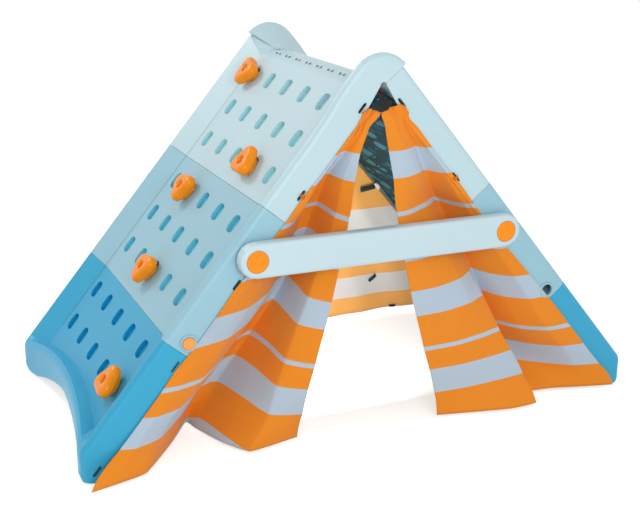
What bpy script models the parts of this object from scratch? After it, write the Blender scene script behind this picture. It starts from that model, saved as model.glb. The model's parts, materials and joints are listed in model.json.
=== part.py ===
"""Climbing wall with tent: two slotted climbing walls hinged into an A-frame, with stay bars and tent cloth.

Units are metres, +Z is up, +X runs from the left wall's feet to the right wall's feet, and -Y is the front.
The origin lies on the floor under the ridge, midway between front and back.
Each wall is drawn flat in its own frame: X runs down the slope from the hinge axis, Z points out of the
climbing face, and the same moulding turned half round about the vertical makes the other wall.
"""

import math

import bmesh
import bpy
from mathutils import Vector

# Walls and ridge
HINGE_HEIGHT = 0.7956
WALL_SLOPE = math.radians(50.25)
WALL_DEPTH = 0.699
CREST_HEIGHT = 0.070
CREST_SETBACK = 0.0135
CREST_DROP = 0.013
FACE_HEIGHT = 0.041
FACE_HALF_WIDTH = 0.263
PANEL_THICKNESS = 0.011
SKIN = 0.004
SEAMS = (0.353, 0.705)
SEAM_GAP = 0.0005
RAIL_END = -0.0075
BUTT_GAP = 0.0003
FOOT_SETBACK = 0.0003
RIDGE_TOP = 0.0158
RIDGE_SHOULDER = 0.030
RIDGE_HALF_WIDTH = 0.2625
DOME_CENTRE = 0.001
DOME_RADIUS = 0.0787
CHEEK_FOOT_TOP = 0.0205
# Rise of the crest towards the dome, as places down the slope and heights over the crest
DOME_FLANK = ((0.175, 0.0), (0.125, 0.0026), (0.085, 0.0066), (0.045, 0.0094))
APEX_NOTCH_CENTRE = 0.010
APEX_NOTCH_RADIUS = 0.008
APEX_NOTCH_REACH = 0.080

# Feet and the arched end
FOOT_REACH = 0.693
FOOT_ROUND = 0.014
ARCH_RADIUS = 0.95
FACE_END = 0.918
LIP_CREST = 0.930
LIP_WIDTH = 0.016
ARCH_HALF_WIDTH = 0.27
ARCH_RISE = 0.060

# Grip holes and climbing holds
HOLE_ROWS = (0.085, 0.186, 0.287, 0.420, 0.520, 0.621, 0.763, 0.864)
HOLE_PITCH = 0.110
HOLE_LENGTH = 0.044
HOLE_WIDTH = 0.038
HOLE_ROUND = 0.013
HOLDS = ((0, 2, 0.4), (2, -1, 2.4), (3, 1, 1.9), (5, 0, 4.1), (7, -2, 5.3))
HOLD_SIDES = 16
HOLD_BORE = 0.0036
HOLD_STAND = 0.009
HOLD_TOP = 0.0375

# Hinge
ROD_RADIUS = 0.004
ROD_HALF_LENGTH = 0.2600
EYE_RADIUS = 0.012
RUNNING_GAP = 0.0004
FINGER_COUNT = 7
FINGER_PITCH = 0.065
FINGER_WIDTH = 0.022
FINGER_REACH = 0.031
TIP_GAP = 0.0045

# Stay bars
BAR_PIVOT_DOWN = 0.454
BAR_PIVOT_OUT = 0.018
BAR_RADIUS = 0.039
BAR_STANDOFF = 0.009
BAR_THICKNESS = 0.027
BAR_EDGE = 0.008
CAP_RADIUS = 0.0245
PIVOT_RADIUS = 0.005
COLLAR_RADIUS = 0.020
CATCH_RADIUS = 0.009
CATCH_REACH = 0.0045
CATCH_CLEARANCE = 0.001
CRADLE_WALL = 0.0065
CRADLE_TURNS = (180, 312)
CRADLE_HEIGHT = 0.007
SEAT_GAP = 0.0003
BUTTON_TRAVEL = 0.005
PEG_DOWN = 0.680
PEG_OUT = 0.020
PEG_RADIUS = 0.0145
PEG_COLLAR_RADIUS = 0.0195
PEG_COLLAR_HEIGHT = 0.004

# Strap slots in the side faces, as down-slope and outward places on each side of a wall
STRAP_LENGTH = 0.027
STRAP_WIDTH = 0.0065
STRAPS = ((1, 0.059, 0.016), (1, 0.286, 0.0105), (1, 0.520, 0.0085), (1, 1.013, 0.014),
          (-1, 0.051, 0.015), (-1, 0.277, 0.0105), (-1, 0.752, 0.011))

# Tent cloth
CLOTH = 0.003
CLOTH_TOP = 0.745
CLOTH_DEPTH = -0.3465
FOLD_GROWTH = 2.4
FLAP_COLUMNS = 22
FLAP_ROWS = 7
FLAP_TOPS = ((-0.0365, -0.030), (0.0365, -0.012))
LEFT_HEM = ((-0.645, -0.3465, 0.012), (-0.618, -0.372, 0.010), (-0.578, -0.369, 0.010), (-0.545, -0.348, 0.010),
            (-0.491, -0.278, 0.012), (-0.437, -0.198, 0.012), (-0.403, -0.160, 0.012), (-0.392, -0.218, 0.012),
            (-0.368, -0.285, 0.012), (-0.342, -0.335, 0.012), (-0.312, -0.357, 0.012), (-0.263, -0.341, 0.014),
            (-0.198, -0.327, 0.018))
RIGHT_HEM = ((0.645, -0.3465, 0.012), (0.598, -0.357, 0.010), (0.545, -0.341, 0.010), (0.497, -0.330, 0.010),
             (0.447, -0.325, 0.012), (0.424, -0.350, 0.012), (0.408, -0.384, 0.012), (0.348, -0.388, 0.012),
             (0.255, -0.367, 0.012), (0.165, -0.350, 0.018))
CURTAIN_COLUMNS = 17
CURTAIN_ROWS = 5
CURTAIN_HALF_WIDTHS = (0.030, 0.610)
CURTAIN_HEM = 0.018
CURTAIN_WAVE = 0.010
CURTAIN_DEPTH = 0.335
LINER = 0.0022

SIN = math.cos(WALL_SLOPE)
COS = math.sin(WALL_SLOPE)
HALF_DEPTH = WALL_DEPTH / 2
PIVOT_X = BAR_PIVOT_DOWN * SIN + BAR_PIVOT_OUT * COS
PIVOT_Z = HINGE_HEIGHT - BAR_PIVOT_DOWN * COS + BAR_PIVOT_OUT * SIN
BAR_REAR = HALF_DEPTH + BAR_STANDOFF
BAR_FRONT = BAR_REAR + BAR_THICKNESS

# Colour, roughness and metallic value of each finish
FINISHES = {
    "sky_plastic": ((0.58, 0.77, 0.82), 0.42, 0.0),
    "light_blue_plastic": ((0.36, 0.62, 0.75), 0.42, 0.0),
    "mid_blue_plastic": ((0.06, 0.39, 0.60), 0.40, 0.0),
    "orange_plastic": ((1.00, 0.30, 0.005), 0.28, 0.0),
    "steel": ((0.62, 0.63, 0.65), 0.30, 1.0),
    "tent_cloth": ((0.90, 0.26, 0.02), 0.85, 0.0),
    "liner_cloth": ((0.02, 0.07, 0.08), 0.80, 0.0),
}


def clear_scene():
    """Remove whatever the file holds."""
    for item in list(bpy.data.objects):
        bpy.data.objects.remove(item, do_unlink=True)


def finish(name, key):
    """A plain material named after the piece, with one finish's values."""
    colour, roughness, metallic = FINISHES[key]
    material = bpy.data.materials.new(f"{name}_{key}")
    material.use_nodes = True
    shader = material.node_tree.nodes["Principled BSDF"]
    shader.inputs["Base Color"].default_value = (*colour, 1.0)
    shader.inputs["Roughness"].default_value = roughness
    shader.inputs["Metallic"].default_value = metallic
    return material


def add_object(name, bm, key=None, parent=None, smooth=None):
    """Link a bmesh as an object; with no finish it is a cutter or a tool for Booleans."""
    bmesh.ops.recalc_face_normals(bm, faces=bm.faces)
    mesh = bpy.data.meshes.new(name)
    bm.to_mesh(mesh)
    bm.free()
    item = bpy.data.objects.new(name, mesh)
    bpy.context.scene.collection.objects.link(item)
    item.parent = parent
    if key:
        mesh.materials.append(finish(name, key))
    else:
        item.hide_render = True
        item.display_type = "WIRE"
    if smooth:
        mesh.shade_smooth()
        mesh.set_sharp_from_angle(angle=math.radians(smooth))
    return item


def boolean(item, tool, operation="DIFFERENCE"):
    """Cut an object by a tool, or join the tool to it."""
    modifier = item.modifiers.new(tool.name, "BOOLEAN")
    modifier.operation = operation
    modifier.object = tool
    modifier.solver = "EXACT"


def add_loft(bm, stations):
    """A closed skin through outlines of equal length, capped at both ends."""
    rings = [[bm.verts.new(point) for point in station] for station in stations]
    count = len(rings[0])
    for near, far in zip(rings, rings[1:]):
        for i in range(count):
            j = (i + 1) % count
            bm.faces.new((near[i], near[j], far[j], far[i]))
    bm.faces.new(rings[0])
    bm.faces.new(list(reversed(rings[-1])))


def loft(stations):
    """A bmesh holding one loft."""
    bm = bmesh.new()
    add_loft(bm, stations)
    return bm


def across(outline, *depths):
    """Copies of an outline in X and Z at several depths along Y."""
    return [[(x, depth, z) for x, z in outline] for depth in depths]


def arc(centre, radius, start, end, count):
    """Points on an arc, angles in degrees, ends included."""
    turns = [math.radians(start + (end - start) * i / (count - 1)) for i in range(count)]
    return [(centre[0] + radius * math.cos(t), centre[1] + radius * math.sin(t)) for t in turns]


def circle(centre, radius, count):
    """Points round a full circle."""
    return arc(centre, radius, 0, 360, count + 1)[:-1]


def rounded_box(half_x, half_y, radius, count):
    """An outline with four round corners, count points on each."""
    points = []
    for turn, (sx, sy) in enumerate(((1, 1), (-1, 1), (-1, -1), (1, -1))):
        centre = (sx * (half_x - radius), sy * (half_y - radius))
        points += arc(centre, radius, 90 * turn, 90 * turn + 90, count)
    return points


def bezier(start, control, end, count):
    """Points on a quadratic curve, ends included."""
    points = []
    for i in range(count):
        t = i / (count - 1)
        weights = ((1 - t) ** 2, 2 * t * (1 - t), t * t)
        points.append(tuple(sum(w * p[k] for w, p in zip(weights, (start, control, end))) for k in (0, 1)))
    return points


def flat(x, z):
    """Wall coordinates of a point given by its reach from the ridge and its height over the hinge axis."""
    return (x * SIN - z * COS, x * COS + z * SIN)


def wall_frame(name, turned):
    """The empty on the hinge axis that carries one wall."""
    frame = bpy.data.objects.new(name, None)
    bpy.context.scene.collection.objects.link(frame)
    frame.location = (0, 0, HINGE_HEIGHT)
    frame.rotation_euler = (0, WALL_SLOPE, math.pi if turned else 0)
    return frame


def crest(depth):
    """Height of the outer surface over the inner plane at one place across the wall."""
    a = abs(depth)
    edge = HALF_DEPTH - CREST_SETBACK
    if a <= FACE_HALF_WIDTH:
        return FACE_HEIGHT
    if a <= edge:
        return FACE_HEIGHT + (CREST_HEIGHT - FACE_HEIGHT) * (a - FACE_HALF_WIDTH) / (edge - FACE_HALF_WIDTH)
    fall = (a - edge) / CREST_SETBACK
    return CREST_HEIGHT - CREST_DROP * (1 - math.sqrt(max(0.0, 1 - fall * fall)))


def rail_depths():
    """Places across one rail, from the climbing face out to the side."""
    edge = HALF_DEPTH - CREST_SETBACK
    return (FACE_HALF_WIDTH, edge, edge + 0.5 * CREST_SETBACK, edge + 0.87 * CREST_SETBACK, HALF_DEPTH)


def section_depths():
    """Places across a whole section, from side to side."""
    rail = rail_depths()
    return [-d for d in reversed(rail)] + list(rail)


def middle_section(name, key, frame):
    """The plain section between the two seams."""
    start, end = SEAMS[0] + SEAM_GAP, SEAMS[1]
    stations = [[(start, y, 0), (start, y, crest(y)), (end, y, crest(y)), (end, y, 0)] for y in section_depths()]
    return add_object(name, loft(stations), key, frame)


def sweep_back(depth, half_width):
    """How far the arched lip falls back from its middle at one place across the wall."""
    a = min(abs(depth), half_width)
    return ARCH_RADIUS - math.sqrt(ARCH_RADIUS ** 2 - a * a)


def lip_points(depth):
    """Face end, lip crest and outer edge of the arched end at one place across, all down the slope."""
    back = sweep_back(depth, 0.31)
    edge = LIP_CREST + back + LIP_WIDTH
    if abs(depth) > 0.31:
        edge = (FOOT_REACH - CREST_HEIGHT * COS) / SIN
    return FACE_END + back, LIP_CREST + back, edge


def arch_height(depth):
    """Height of the skirt's lower edge over the floor."""
    share = min(1.0, abs(depth) / ARCH_HALF_WIDTH)
    return ARCH_RISE * (1 - share ** 1.4)


def end_outline(depth):
    """Side outline of the bottom section: face, lip, vertical skirt and foot."""
    start = SEAMS[1] + SEAM_GAP
    face_end, lip, edge = lip_points(depth)
    face, top = crest(depth), max(crest(depth), CREST_HEIGHT)
    if abs(depth) > HALF_DEPTH - CREST_SETBACK:
        top = face
    skirt_x = edge * SIN + top * COS
    low = arch_height(depth)
    floor = -HINGE_HEIGHT + low
    corner = flat(skirt_x, -edge * COS + top * SIN)
    shoulder = flat(skirt_x, -edge * COS + top * SIN - 0.006)
    heel = [flat(*p) for p in bezier((skirt_x, floor + FOOT_ROUND), (skirt_x, floor), (skirt_x - FOOT_ROUND, floor), 3)]
    inner = flat(-floor * SIN / COS, floor)
    return [(start, 0), (start, face), (face_end, face), (lip, top), (corner[0] - 0.006, top), shoulder,
            *heel, inner]


def bottom_section(name, key, frame):
    """The section with the feet and the arched, lipped end."""
    inner = (0.0, 0.06, 0.12, 0.17, 0.21, 0.240)
    half = inner + (FACE_HALF_WIDTH, 0.300, 0.316) + rail_depths()[1:]
    depths = [-d for d in reversed(half)] + list(half[1:])
    stations = [[(x, y, z) for x, z in end_outline(y)] for y in depths]
    return add_object(name, loft(stations), key, frame)


def notch_points(start, count):
    """The rounded clearance at the inner apex, from an angle on it down to the inner plane."""
    centre = (0, APEX_NOTCH_CENTRE)
    round_part = [flat(*p) for p in arc(centre, APEX_NOTCH_RADIUS, start, 0, count)]
    return round_part + [(APEX_NOTCH_REACH, 0)]


def seam_meets_notch(gap):
    """Where a rail's end plane meets the apex notch, as reach and height."""
    end = RAIL_END - gap
    offset = (end * SIN, -end * COS - APEX_NOTCH_CENTRE)
    b = offset[0] * COS + offset[1] * SIN
    c = offset[0] ** 2 + offset[1] ** 2 - APEX_NOTCH_RADIUS ** 2
    n = -b + math.sqrt(b * b - c)
    return end * SIN + n * COS, -end * COS + n * SIN


def plain_cheek_outline(inset):
    """Side outline of the rail end that butts against the other wall's dome."""
    top = CREST_HEIGHT - inset
    start = SEAMS[0]
    return [(start, 0), (start, top), (RAIL_END + 0.004, top), (RAIL_END, top - 0.004), *plain_notch()]


def plain_notch():
    """The part of a plain rail end's outline round the apex notch."""
    return [flat(*seam_meets_notch(0)), *notch_points(22, 2)]


def plain_cheek_foot():
    """The plain rail end's outline at its inner end, where it runs out into the ridge."""
    low = FACE_HEIGHT - FOOT_SETBACK
    foot = flat(end_plane_reach(RAIL_END), CHEEK_FOOT_TOP)
    return [(SEAMS[0], 0), (SEAMS[0], low), (RIDGE_SHOULDER, low), foot, *plain_notch()]


def dome_cheek_outline(inset, count=9):
    """Side outline of the rail end that rises into the dome over the ridge."""
    radius = DOME_RADIUS - inset
    slope = math.degrees(WALL_SLOPE)
    reach = (-RAIL_END + BUTT_GAP - DOME_CENTRE * COS) / radius
    end = 180 - math.degrees(math.asin(reach)) - (90 - slope)
    dome = [flat(*p) for p in arc((0, DOME_CENTRE), radius, 90 - slope, end, count)]
    flank = [(down, CREST_HEIGHT + rise - inset) for down, rise in DOME_FLANK]
    return [(SEAMS[0], 0), (SEAMS[0], CREST_HEIGHT - inset), *flank, *dome, *dome_notch()]


def dome_notch():
    """The part of a domed rail end's outline round the apex notch."""
    x, z = seam_meets_notch(BUTT_GAP)
    return [flat(-x, z), flat(0, APEX_NOTCH_CENTRE + APEX_NOTCH_RADIUS), *notch_points(45, 3)]


def dome_cheek_foot(count=9):
    """The domed rail end's outline at its inner end, where it runs out into the ridge."""
    low = FACE_HEIGHT - FOOT_SETBACK
    flank = [(down, low) for down, _ in DOME_FLANK]
    far = flat(-end_plane_reach(RAIL_END - BUTT_GAP), CHEEK_FOOT_TOP)
    return [(SEAMS[0], 0), (SEAMS[0], low), *flank, *ridge_curve(CHEEK_FOOT_TOP, low, 0, count - 1), far, *dome_notch()]


def end_plane_reach(end):
    """How far from the ridge a rail's end plane is at the cheeks' foot height."""
    return (end + CHEEK_FOOT_TOP * COS) / SIN


def ridge_curve(top, face, reach, count):
    """The curve from the climbing face up on to the ridge."""
    control = flat((face - top * SIN) / COS, top)
    return bezier((RIDGE_SHOULDER, face), control, flat(reach, top), count)


def ridge_outline():
    """Side outline of the ridge between the domes, up to the plane where the two walls meet."""
    curve = ridge_curve(RIDGE_TOP, FACE_HEIGHT, BUTT_GAP, 7)
    return [(0.042, 0), (0.042, FACE_HEIGHT), *curve, flat(BUTT_GAP, 0), (0.004, 0)]


def top_section(name, key, frame):
    """The section with the dome at one side, the plain rail end at the other and the ridge between."""
    setbacks = [(d, CREST_HEIGHT - crest(d)) for d in rail_depths()[1:]]
    main = [(0.040, 0), (0.040, FACE_HEIGHT), (SEAMS[0], FACE_HEIGHT), (SEAMS[0], 0)]
    body = add_object(name, loft(across(main, -0.264, 0.264)), key, frame)
    ridge = loft(across(ridge_outline(), -RIDGE_HALF_WIDTH, RIDGE_HALF_WIDTH))
    plain = loft(across(plain_cheek_foot(), -FACE_HALF_WIDTH)
                 + [[(x, -d, z) for x, z in plain_cheek_outline(inset)] for d, inset in setbacks])
    dome = loft(across(dome_cheek_foot(), FACE_HALF_WIDTH)
                + [[(x, d, z) for x, z in dome_cheek_outline(inset)] for d, inset in setbacks])
    for label, tool in (("ridge", ridge), ("plain_cheek", plain), ("dome_cheek", dome)):
        boolean(body, add_object(f"{name}_{label}", tool, None, frame), "UNION")
    return body


def add_pocket(bm, s0, s1, y0, y1, height):
    """A plain box pocket, open at the inner plane."""
    outline = [(s0, -0.01), (s0, height), (s1, height), (s1, -0.01)]
    add_loft(bm, across(outline, y0, y1))


def add_rail_pocket(bm, s0, s1, side):
    """The hollow of one rail, following its sloped top."""
    y0, y1 = FACE_HALF_WIDTH + 0.006, HALF_DEPTH - SKIN
    edge = HALF_DEPTH - CREST_SETBACK
    outline = [(y0, -0.01), (y0, crest(y0) - SKIN), (edge, CREST_HEIGHT - SKIN - 0.001),
               (y1, CREST_HEIGHT - CREST_DROP - 0.003), (y1, -0.01)]
    add_loft(bm, [[(s, side * y, z) for y, z in outline] for s in (s0, s1)])


def hollow(body, frame, rail_span, panel_cells):
    """Take out the rails' hollows and the cells between the ribs behind the climbing face."""
    bm = bmesh.new()
    for side in (-1, 1):
        add_rail_pocket(bm, *rail_span, side)
    for s0, s1 in panel_cells:
        for y0, y1 in ((-0.2605, -0.1665), (-0.1635, 0.1635), (0.1665, 0.2605)):
            add_pocket(bm, s0, s1, y0, y1, FACE_HEIGHT - PANEL_THICKNESS)
    boolean(body, add_object(f"{body.name}_hollows", bm, None, frame))


def liner_recess(body, frame, start, end):
    """The shallow step that the liner cloth lies in."""
    bm = loft(across([(start, -0.01), (start, 0.006), (end, 0.006), (end, -0.01)], -0.3375, 0.3375))
    boolean(body, add_object(f"{body.name}_liner_recess", bm, None, frame))


def grip_holes(body, frame, rows):
    """The rounded holes through the climbing face."""
    bm = bmesh.new()
    outline = rounded_box(HOLE_LENGTH / 2, HOLE_WIDTH / 2, HOLE_ROUND, 3)
    for row in rows:
        for column in range(-2, 3):
            centre = (HOLE_ROWS[row], column * HOLE_PITCH)
            ring = [(centre[0] + x, centre[1] + y) for x, y in outline]
            add_loft(bm, [[(x, y, z) for x, y in ring] for z in (0.020, FACE_HEIGHT + 0.01)])
    boolean(body, add_object(f"{body.name}_grip_holes", bm, None, frame))


def arch_hollow(body, frame):
    """The hollow behind the arched lip and its skirt."""
    depths = (0.0, 0.085, 0.15, 0.21, 0.257)
    stations = []
    for y in [-d for d in reversed(depths)] + list(depths[1:]):
        face_end, lip, edge = lip_points(y)
        skirt_x = edge * SIN + CREST_HEIGHT * COS - SKIN
        low = -HINGE_HEIGHT + arch_height(y) - 0.02
        roof = CREST_HEIGHT - SKIN
        outer = (skirt_x - roof * COS) / SIN
        back = flat(-low * SIN / COS, low)
        outline = [(0.815, -0.01), (0.815, 0.030), (face_end + 0.003, 0.030), (lip + 0.006, roof), (outer, roof),
                   flat(skirt_x, low), (back[0], -0.012)]
        stations.append([(s, y, n) for s, n in outline])
    boolean(body, add_object(f"{body.name}_arch_hollow", loft(stations), None, frame))


def pivot_bore(body, frame):
    """The bore through the collar and the side skin for the pivot bolt."""
    ring = circle((BAR_PIVOT_DOWN, BAR_PIVOT_OUT), PIVOT_RADIUS + RUNNING_GAP, 12)
    boolean(body, add_object(f"{body.name}_pivot_bore", loft(across(ring, 0.330, 0.380)), None, frame))


def side_collars(body, frame, down, out, radius, height, sides=(-1, 1)):
    """Round collars standing on the side faces."""
    bm = bmesh.new()
    for side in sides:
        skin_inside = side * (HALF_DEPTH - 0.002)
        top = side * (HALF_DEPTH + height)
        rim = side * (HALF_DEPTH + height - 0.0012)
        small = circle((down, out), radius - 0.0012, 16)
        large = circle((down, out), radius, 16)
        add_loft(bm, [[(x, y, z) for x, z in ring] for ring, y in ((large, skin_inside), (large, rim), (small, top))])
    boolean(body, add_object(f"{body.name}_collars_{round(down * 1000)}", bm, None, frame), "UNION")


def strap_slots(body, frame, start, end):
    """The slots in the side faces that the cloth's straps pass through."""
    bm = bmesh.new()
    for side, down, out in STRAPS:
        if start < down < end:
            ring = [(down + x, out + z) for x, z in rounded_box(STRAP_LENGTH / 2, STRAP_WIDTH / 2, 0.003, 2)]
            add_loft(bm, across(ring, side * (HALF_DEPTH - 0.008), side * (HALF_DEPTH + 0.02)))
    boolean(body, add_object(f"{body.name}_strap_slots", bm, None, frame))


def catch_cradle(name, frame):
    """The open cradle on the side face that the stay bar's catch drops into."""
    narrow = CATCH_RADIUS + CATCH_CLEARANCE
    start, end = (math.degrees(WALL_SLOPE) + turn for turn in CRADLE_TURNS)
    outer = arc((BAR_PIVOT_DOWN, BAR_PIVOT_OUT), narrow + CRADLE_WALL, start, end, 9)
    inner = arc((BAR_PIVOT_DOWN, BAR_PIVOT_OUT), narrow, end, start, 7)
    depths = -(HALF_DEPTH + SEAT_GAP), -(HALF_DEPTH + CRADLE_HEIGHT)
    return add_object(name, loft(across(outer + inner, *depths)), "light_blue_plastic", frame)


def hinge_eyes(body, frame, carries_fingers):
    """Interleave the two walls on the hinge axis: notches and eyes on one, fingers on the other."""
    ends = (-RIDGE_HALF_WIDTH, RIDGE_HALF_WIDTH)
    places = [(i - (FINGER_COUNT - 1) / 2) * FINGER_PITCH for i in range(FINGER_COUNT)]
    if carries_fingers:
        relief = loft(across(circle((0, 0), EYE_RADIUS + RUNNING_GAP, 14), *ends))
        boolean(body, add_object(f"{body.name}_eye_relief", relief, None, frame))
        bm = bmesh.new()
        for place in places:
            add_loft(bm, across(finger_outline(), place - FINGER_WIDTH / 2, place + FINGER_WIDTH / 2))
        boolean(body, add_object(f"{body.name}_fingers", bm, None, frame), "UNION")
    else:
        eye = loft(across(circle((0, 0), EYE_RADIUS, 14), *ends))
        boolean(body, add_object(f"{body.name}_eyes", eye, None, frame), "UNION")
        bm = bmesh.new()
        for place in places:
            half = FINGER_WIDTH / 2 + RUNNING_GAP
            add_loft(bm, across(circle((0, 0), FINGER_REACH + RUNNING_GAP, 18), place - half, place + half))
        boolean(body, add_object(f"{body.name}_notches", bm, None, frame))
        boolean(body, add_object(f"{body.name}_tip_gaps", tip_gaps(places), None, frame))
    bore = loft(across(circle((0, 0), ROD_RADIUS + RUNNING_GAP, 12), -ROD_HALF_LENGTH, ROD_HALF_LENGTH))
    boolean(body, add_object(f"{body.name}_rod_bore", bore, None, frame))


def tip_gaps(places):
    """The small open corners beside each finger's tip."""
    height = RIDGE_TOP - 0.0015
    reach = math.sqrt(FINGER_REACH ** 2 - height ** 2)
    corners = ((-0.5, -1.4), (0.6, -1.4), (0.6, 1.2), (-0.5, 1.2))
    outline = [flat(reach + TIP_GAP * x, height + TIP_GAP * z) for x, z in corners]
    bm = bmesh.new()
    for place in places:
        for edge in (place - FINGER_WIDTH / 2, place + FINGER_WIDTH / 2):
            add_loft(bm, across(outline, edge - TIP_GAP / 2, edge + TIP_GAP / 2))
    return bm


def finger_outline():
    """One hinge finger: the ridge's own curve on both sides, held within the finger's swing."""
    control = ((FACE_HEIGHT - RIDGE_TOP * SIN) / COS, RIDGE_TOP)
    shoulder = (RIDGE_SHOULDER * SIN + FACE_HEIGHT * COS, -RIDGE_SHOULDER * COS + FACE_HEIGHT * SIN)
    own = [p for p in bezier((0, RIDGE_TOP), control, shoulder, 9) if math.hypot(*p) < FINGER_REACH]
    far = [(-x, z) for x, z in own[1:]]
    tip = math.degrees(math.atan2(far[-1][1], far[-1][0]))
    swing = arc((0, 0), FINGER_REACH - 0.0004, tip + 4, 203, 4)
    under = arc((0, 0), EYE_RADIUS, 222, 320, 5)
    return [flat(x, z) for x, z in reversed(own)] + [flat(x, z) for x, z in far] + \
        [flat(x, z) for x, z in swing] + [flat(x, z) for x, z in under] + [(0.040, 0.0065), (0.040, 0.036)]


def wall(side, turned, keys, carries_fingers):
    """One climbing wall: three moulded sections on a frame at the hinge axis."""
    frame = wall_frame(f"{side}_wall_frame", turned)
    top = top_section(f"{side}_wall_top", keys[0], frame)
    middle = middle_section(f"{side}_wall_middle", keys[1], frame)
    bottom = bottom_section(f"{side}_wall_bottom", keys[2], frame)
    hollow(top, frame, (0.030, SEAMS[0] - 0.005), ((0.050, 0.133), (0.137, 0.234), (0.238, 0.348)))
    hollow(middle, frame, (SEAMS[0] + 0.0055, SEAMS[1] - 0.005), ((0.3585, 0.468), (0.472, 0.568), (0.572, 0.700)))
    hollow(bottom, frame, (SEAMS[1] + 0.0055, 0.985), ((0.7105, 0.811),))
    arch_hollow(bottom, frame)
    liner_recess(top, frame, 0.046, SEAMS[0] + 0.01)
    liner_recess(middle, frame, SEAMS[0] - 0.01, SEAMS[1] + 0.01)
    liner_recess(bottom, frame, SEAMS[1] - 0.01, 0.990)
    grip_holes(top, frame, range(0, 3))
    grip_holes(middle, frame, range(3, 6))
    grip_holes(bottom, frame, range(6, 8))
    for body, start, end in ((top, 0, SEAMS[0]), (middle, *SEAMS), (bottom, SEAMS[1], 1.1)):
        strap_slots(body, frame, start, end)
    hinge_eyes(top, frame, carries_fingers)
    side_collars(middle, frame, BAR_PIVOT_DOWN, BAR_PIVOT_OUT, COLLAR_RADIUS, BAR_STANDOFF - 0.0005, (1,))
    side_collars(middle, frame, PEG_DOWN, PEG_OUT, PEG_COLLAR_RADIUS, PEG_COLLAR_HEIGHT)
    pivot_bore(middle, frame)
    peg_bores = bmesh.new()
    for at in (-1, 1):
        ring = circle((PEG_DOWN, PEG_OUT), PEG_RADIUS, 16)
        add_loft(peg_bores, across(ring, at * 0.330, at * 0.360))
    boolean(middle, add_object(f"{middle.name}_peg_bores", peg_bores, None, frame))
    return frame


def turned_part(name, key, profile, centre, direction, parent=None, count=20, smooth=35):
    """A round piece on an axis along Y: profile gives (radius, distance along the axis) from end to end."""
    bm = bmesh.new()
    stations = [[(centre[0] + x, centre[1] + direction * along, centre[2] + z) for x, z in circle((0, 0), r, count)]
                for r, along in profile]
    add_loft(bm, stations)
    return add_object(name, bm, key, parent, smooth)


def hinge_rod():
    """The steel rod through every knuckle."""
    end = ROD_HALF_LENGTH - 0.001
    profile = ((ROD_RADIUS - 0.001, -end), (ROD_RADIUS, -end + 0.001), (ROD_RADIUS, end - 0.001),
               (ROD_RADIUS - 0.001, end))
    return turned_part("hinge_rod", "steel", profile, (0, 0, HINGE_HEIGHT), 1, count=12)


def hold_outline(radius, phase, lobe):
    """A three-lobed outline, one lobe broader than the others."""
    points = []
    for i in range(HOLD_SIDES):
        t = 2 * math.pi * i / HOLD_SIDES
        swell = 0.05 * math.cos(t - phase) + lobe * math.cos(3 * (t - phase))
        points.append((radius * (1 + swell) * math.cos(t), radius * (1 + swell) * math.sin(t)))
    return points


def climbing_hold(index, frame):
    """A moulded hold: a short base under a fat lobed cap with a dished top, bored for its bolt."""
    row, column, phase = HOLDS[index]
    # Radius, height over the face and depth of the lobes at each ring, from the base up and into the dish
    rings = ((0.0235, 0.0006, 0.04), (0.0235, HOLD_STAND - 0.001, 0.04), (0.030, HOLD_STAND, 0.12),
             (0.0345, HOLD_STAND + 0.005, 0.15), (0.0345, 0.027, 0.15), (0.0315, 0.0345, 0.13), (0.026, HOLD_TOP, 0.10),
             (0.0175, HOLD_TOP - 0.001, 0.05), (0.0125, HOLD_TOP - 0.006, 0.0), (0.0085, HOLD_TOP - 0.014, 0.0))
    stations = [[(x, y, FACE_HEIGHT + height) for x, y in hold_outline(radius, phase, lobe)]
                for radius, height, lobe in rings]
    hold = add_object(f"hold_{index + 1}", loft(stations), "orange_plastic", frame, 50)
    hold.location = (HOLE_ROWS[row], -column * HOLE_PITCH, 0)
    bore = loft([[(x, y, z) for x, y in circle((0, 0), HOLD_BORE, 10)] for z in (0.03, 0.10)])
    tool = add_object(f"hold_{index + 1}_bore", bore, None, frame)
    tool.location = hold.location
    boolean(hold, tool)
    return hold


def hold_bolt(index, frame):
    """The bolt of one hold, with the clamp plate behind the face."""
    row, column, _ = HOLDS[index]
    seat = FACE_HEIGHT + HOLD_TOP - 0.014 + 0.0003
    back = FACE_HEIGHT - PANEL_THICKNESS - 0.0004
    profile = ((0.0062, seat + 0.004), (0.0068, seat + 0.003), (0.0068, seat), (0.0032, seat), (0.0032, back),
               (0.026, back), (0.026, back - 0.003), (0.007, back - 0.0035), (0.007, back - 0.008))
    bm = bmesh.new()
    add_loft(bm, [[(x, y, height) for x, y in circle((0, 0), r, 8)] for r, height in profile])
    bolt = add_object(f"hold_bolt_{index + 1}", bm, "steel", frame, 35)
    bolt.location = (HOLE_ROWS[row], -column * HOLE_PITCH, 0)
    return bolt


def stadium(half_length, radius, count=9):
    """A bar outline with round ends, in X and Z."""
    return arc((half_length, 0), radius, -90, 90, count) + arc((-half_length, 0), radius, 90, 270, count)


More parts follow.
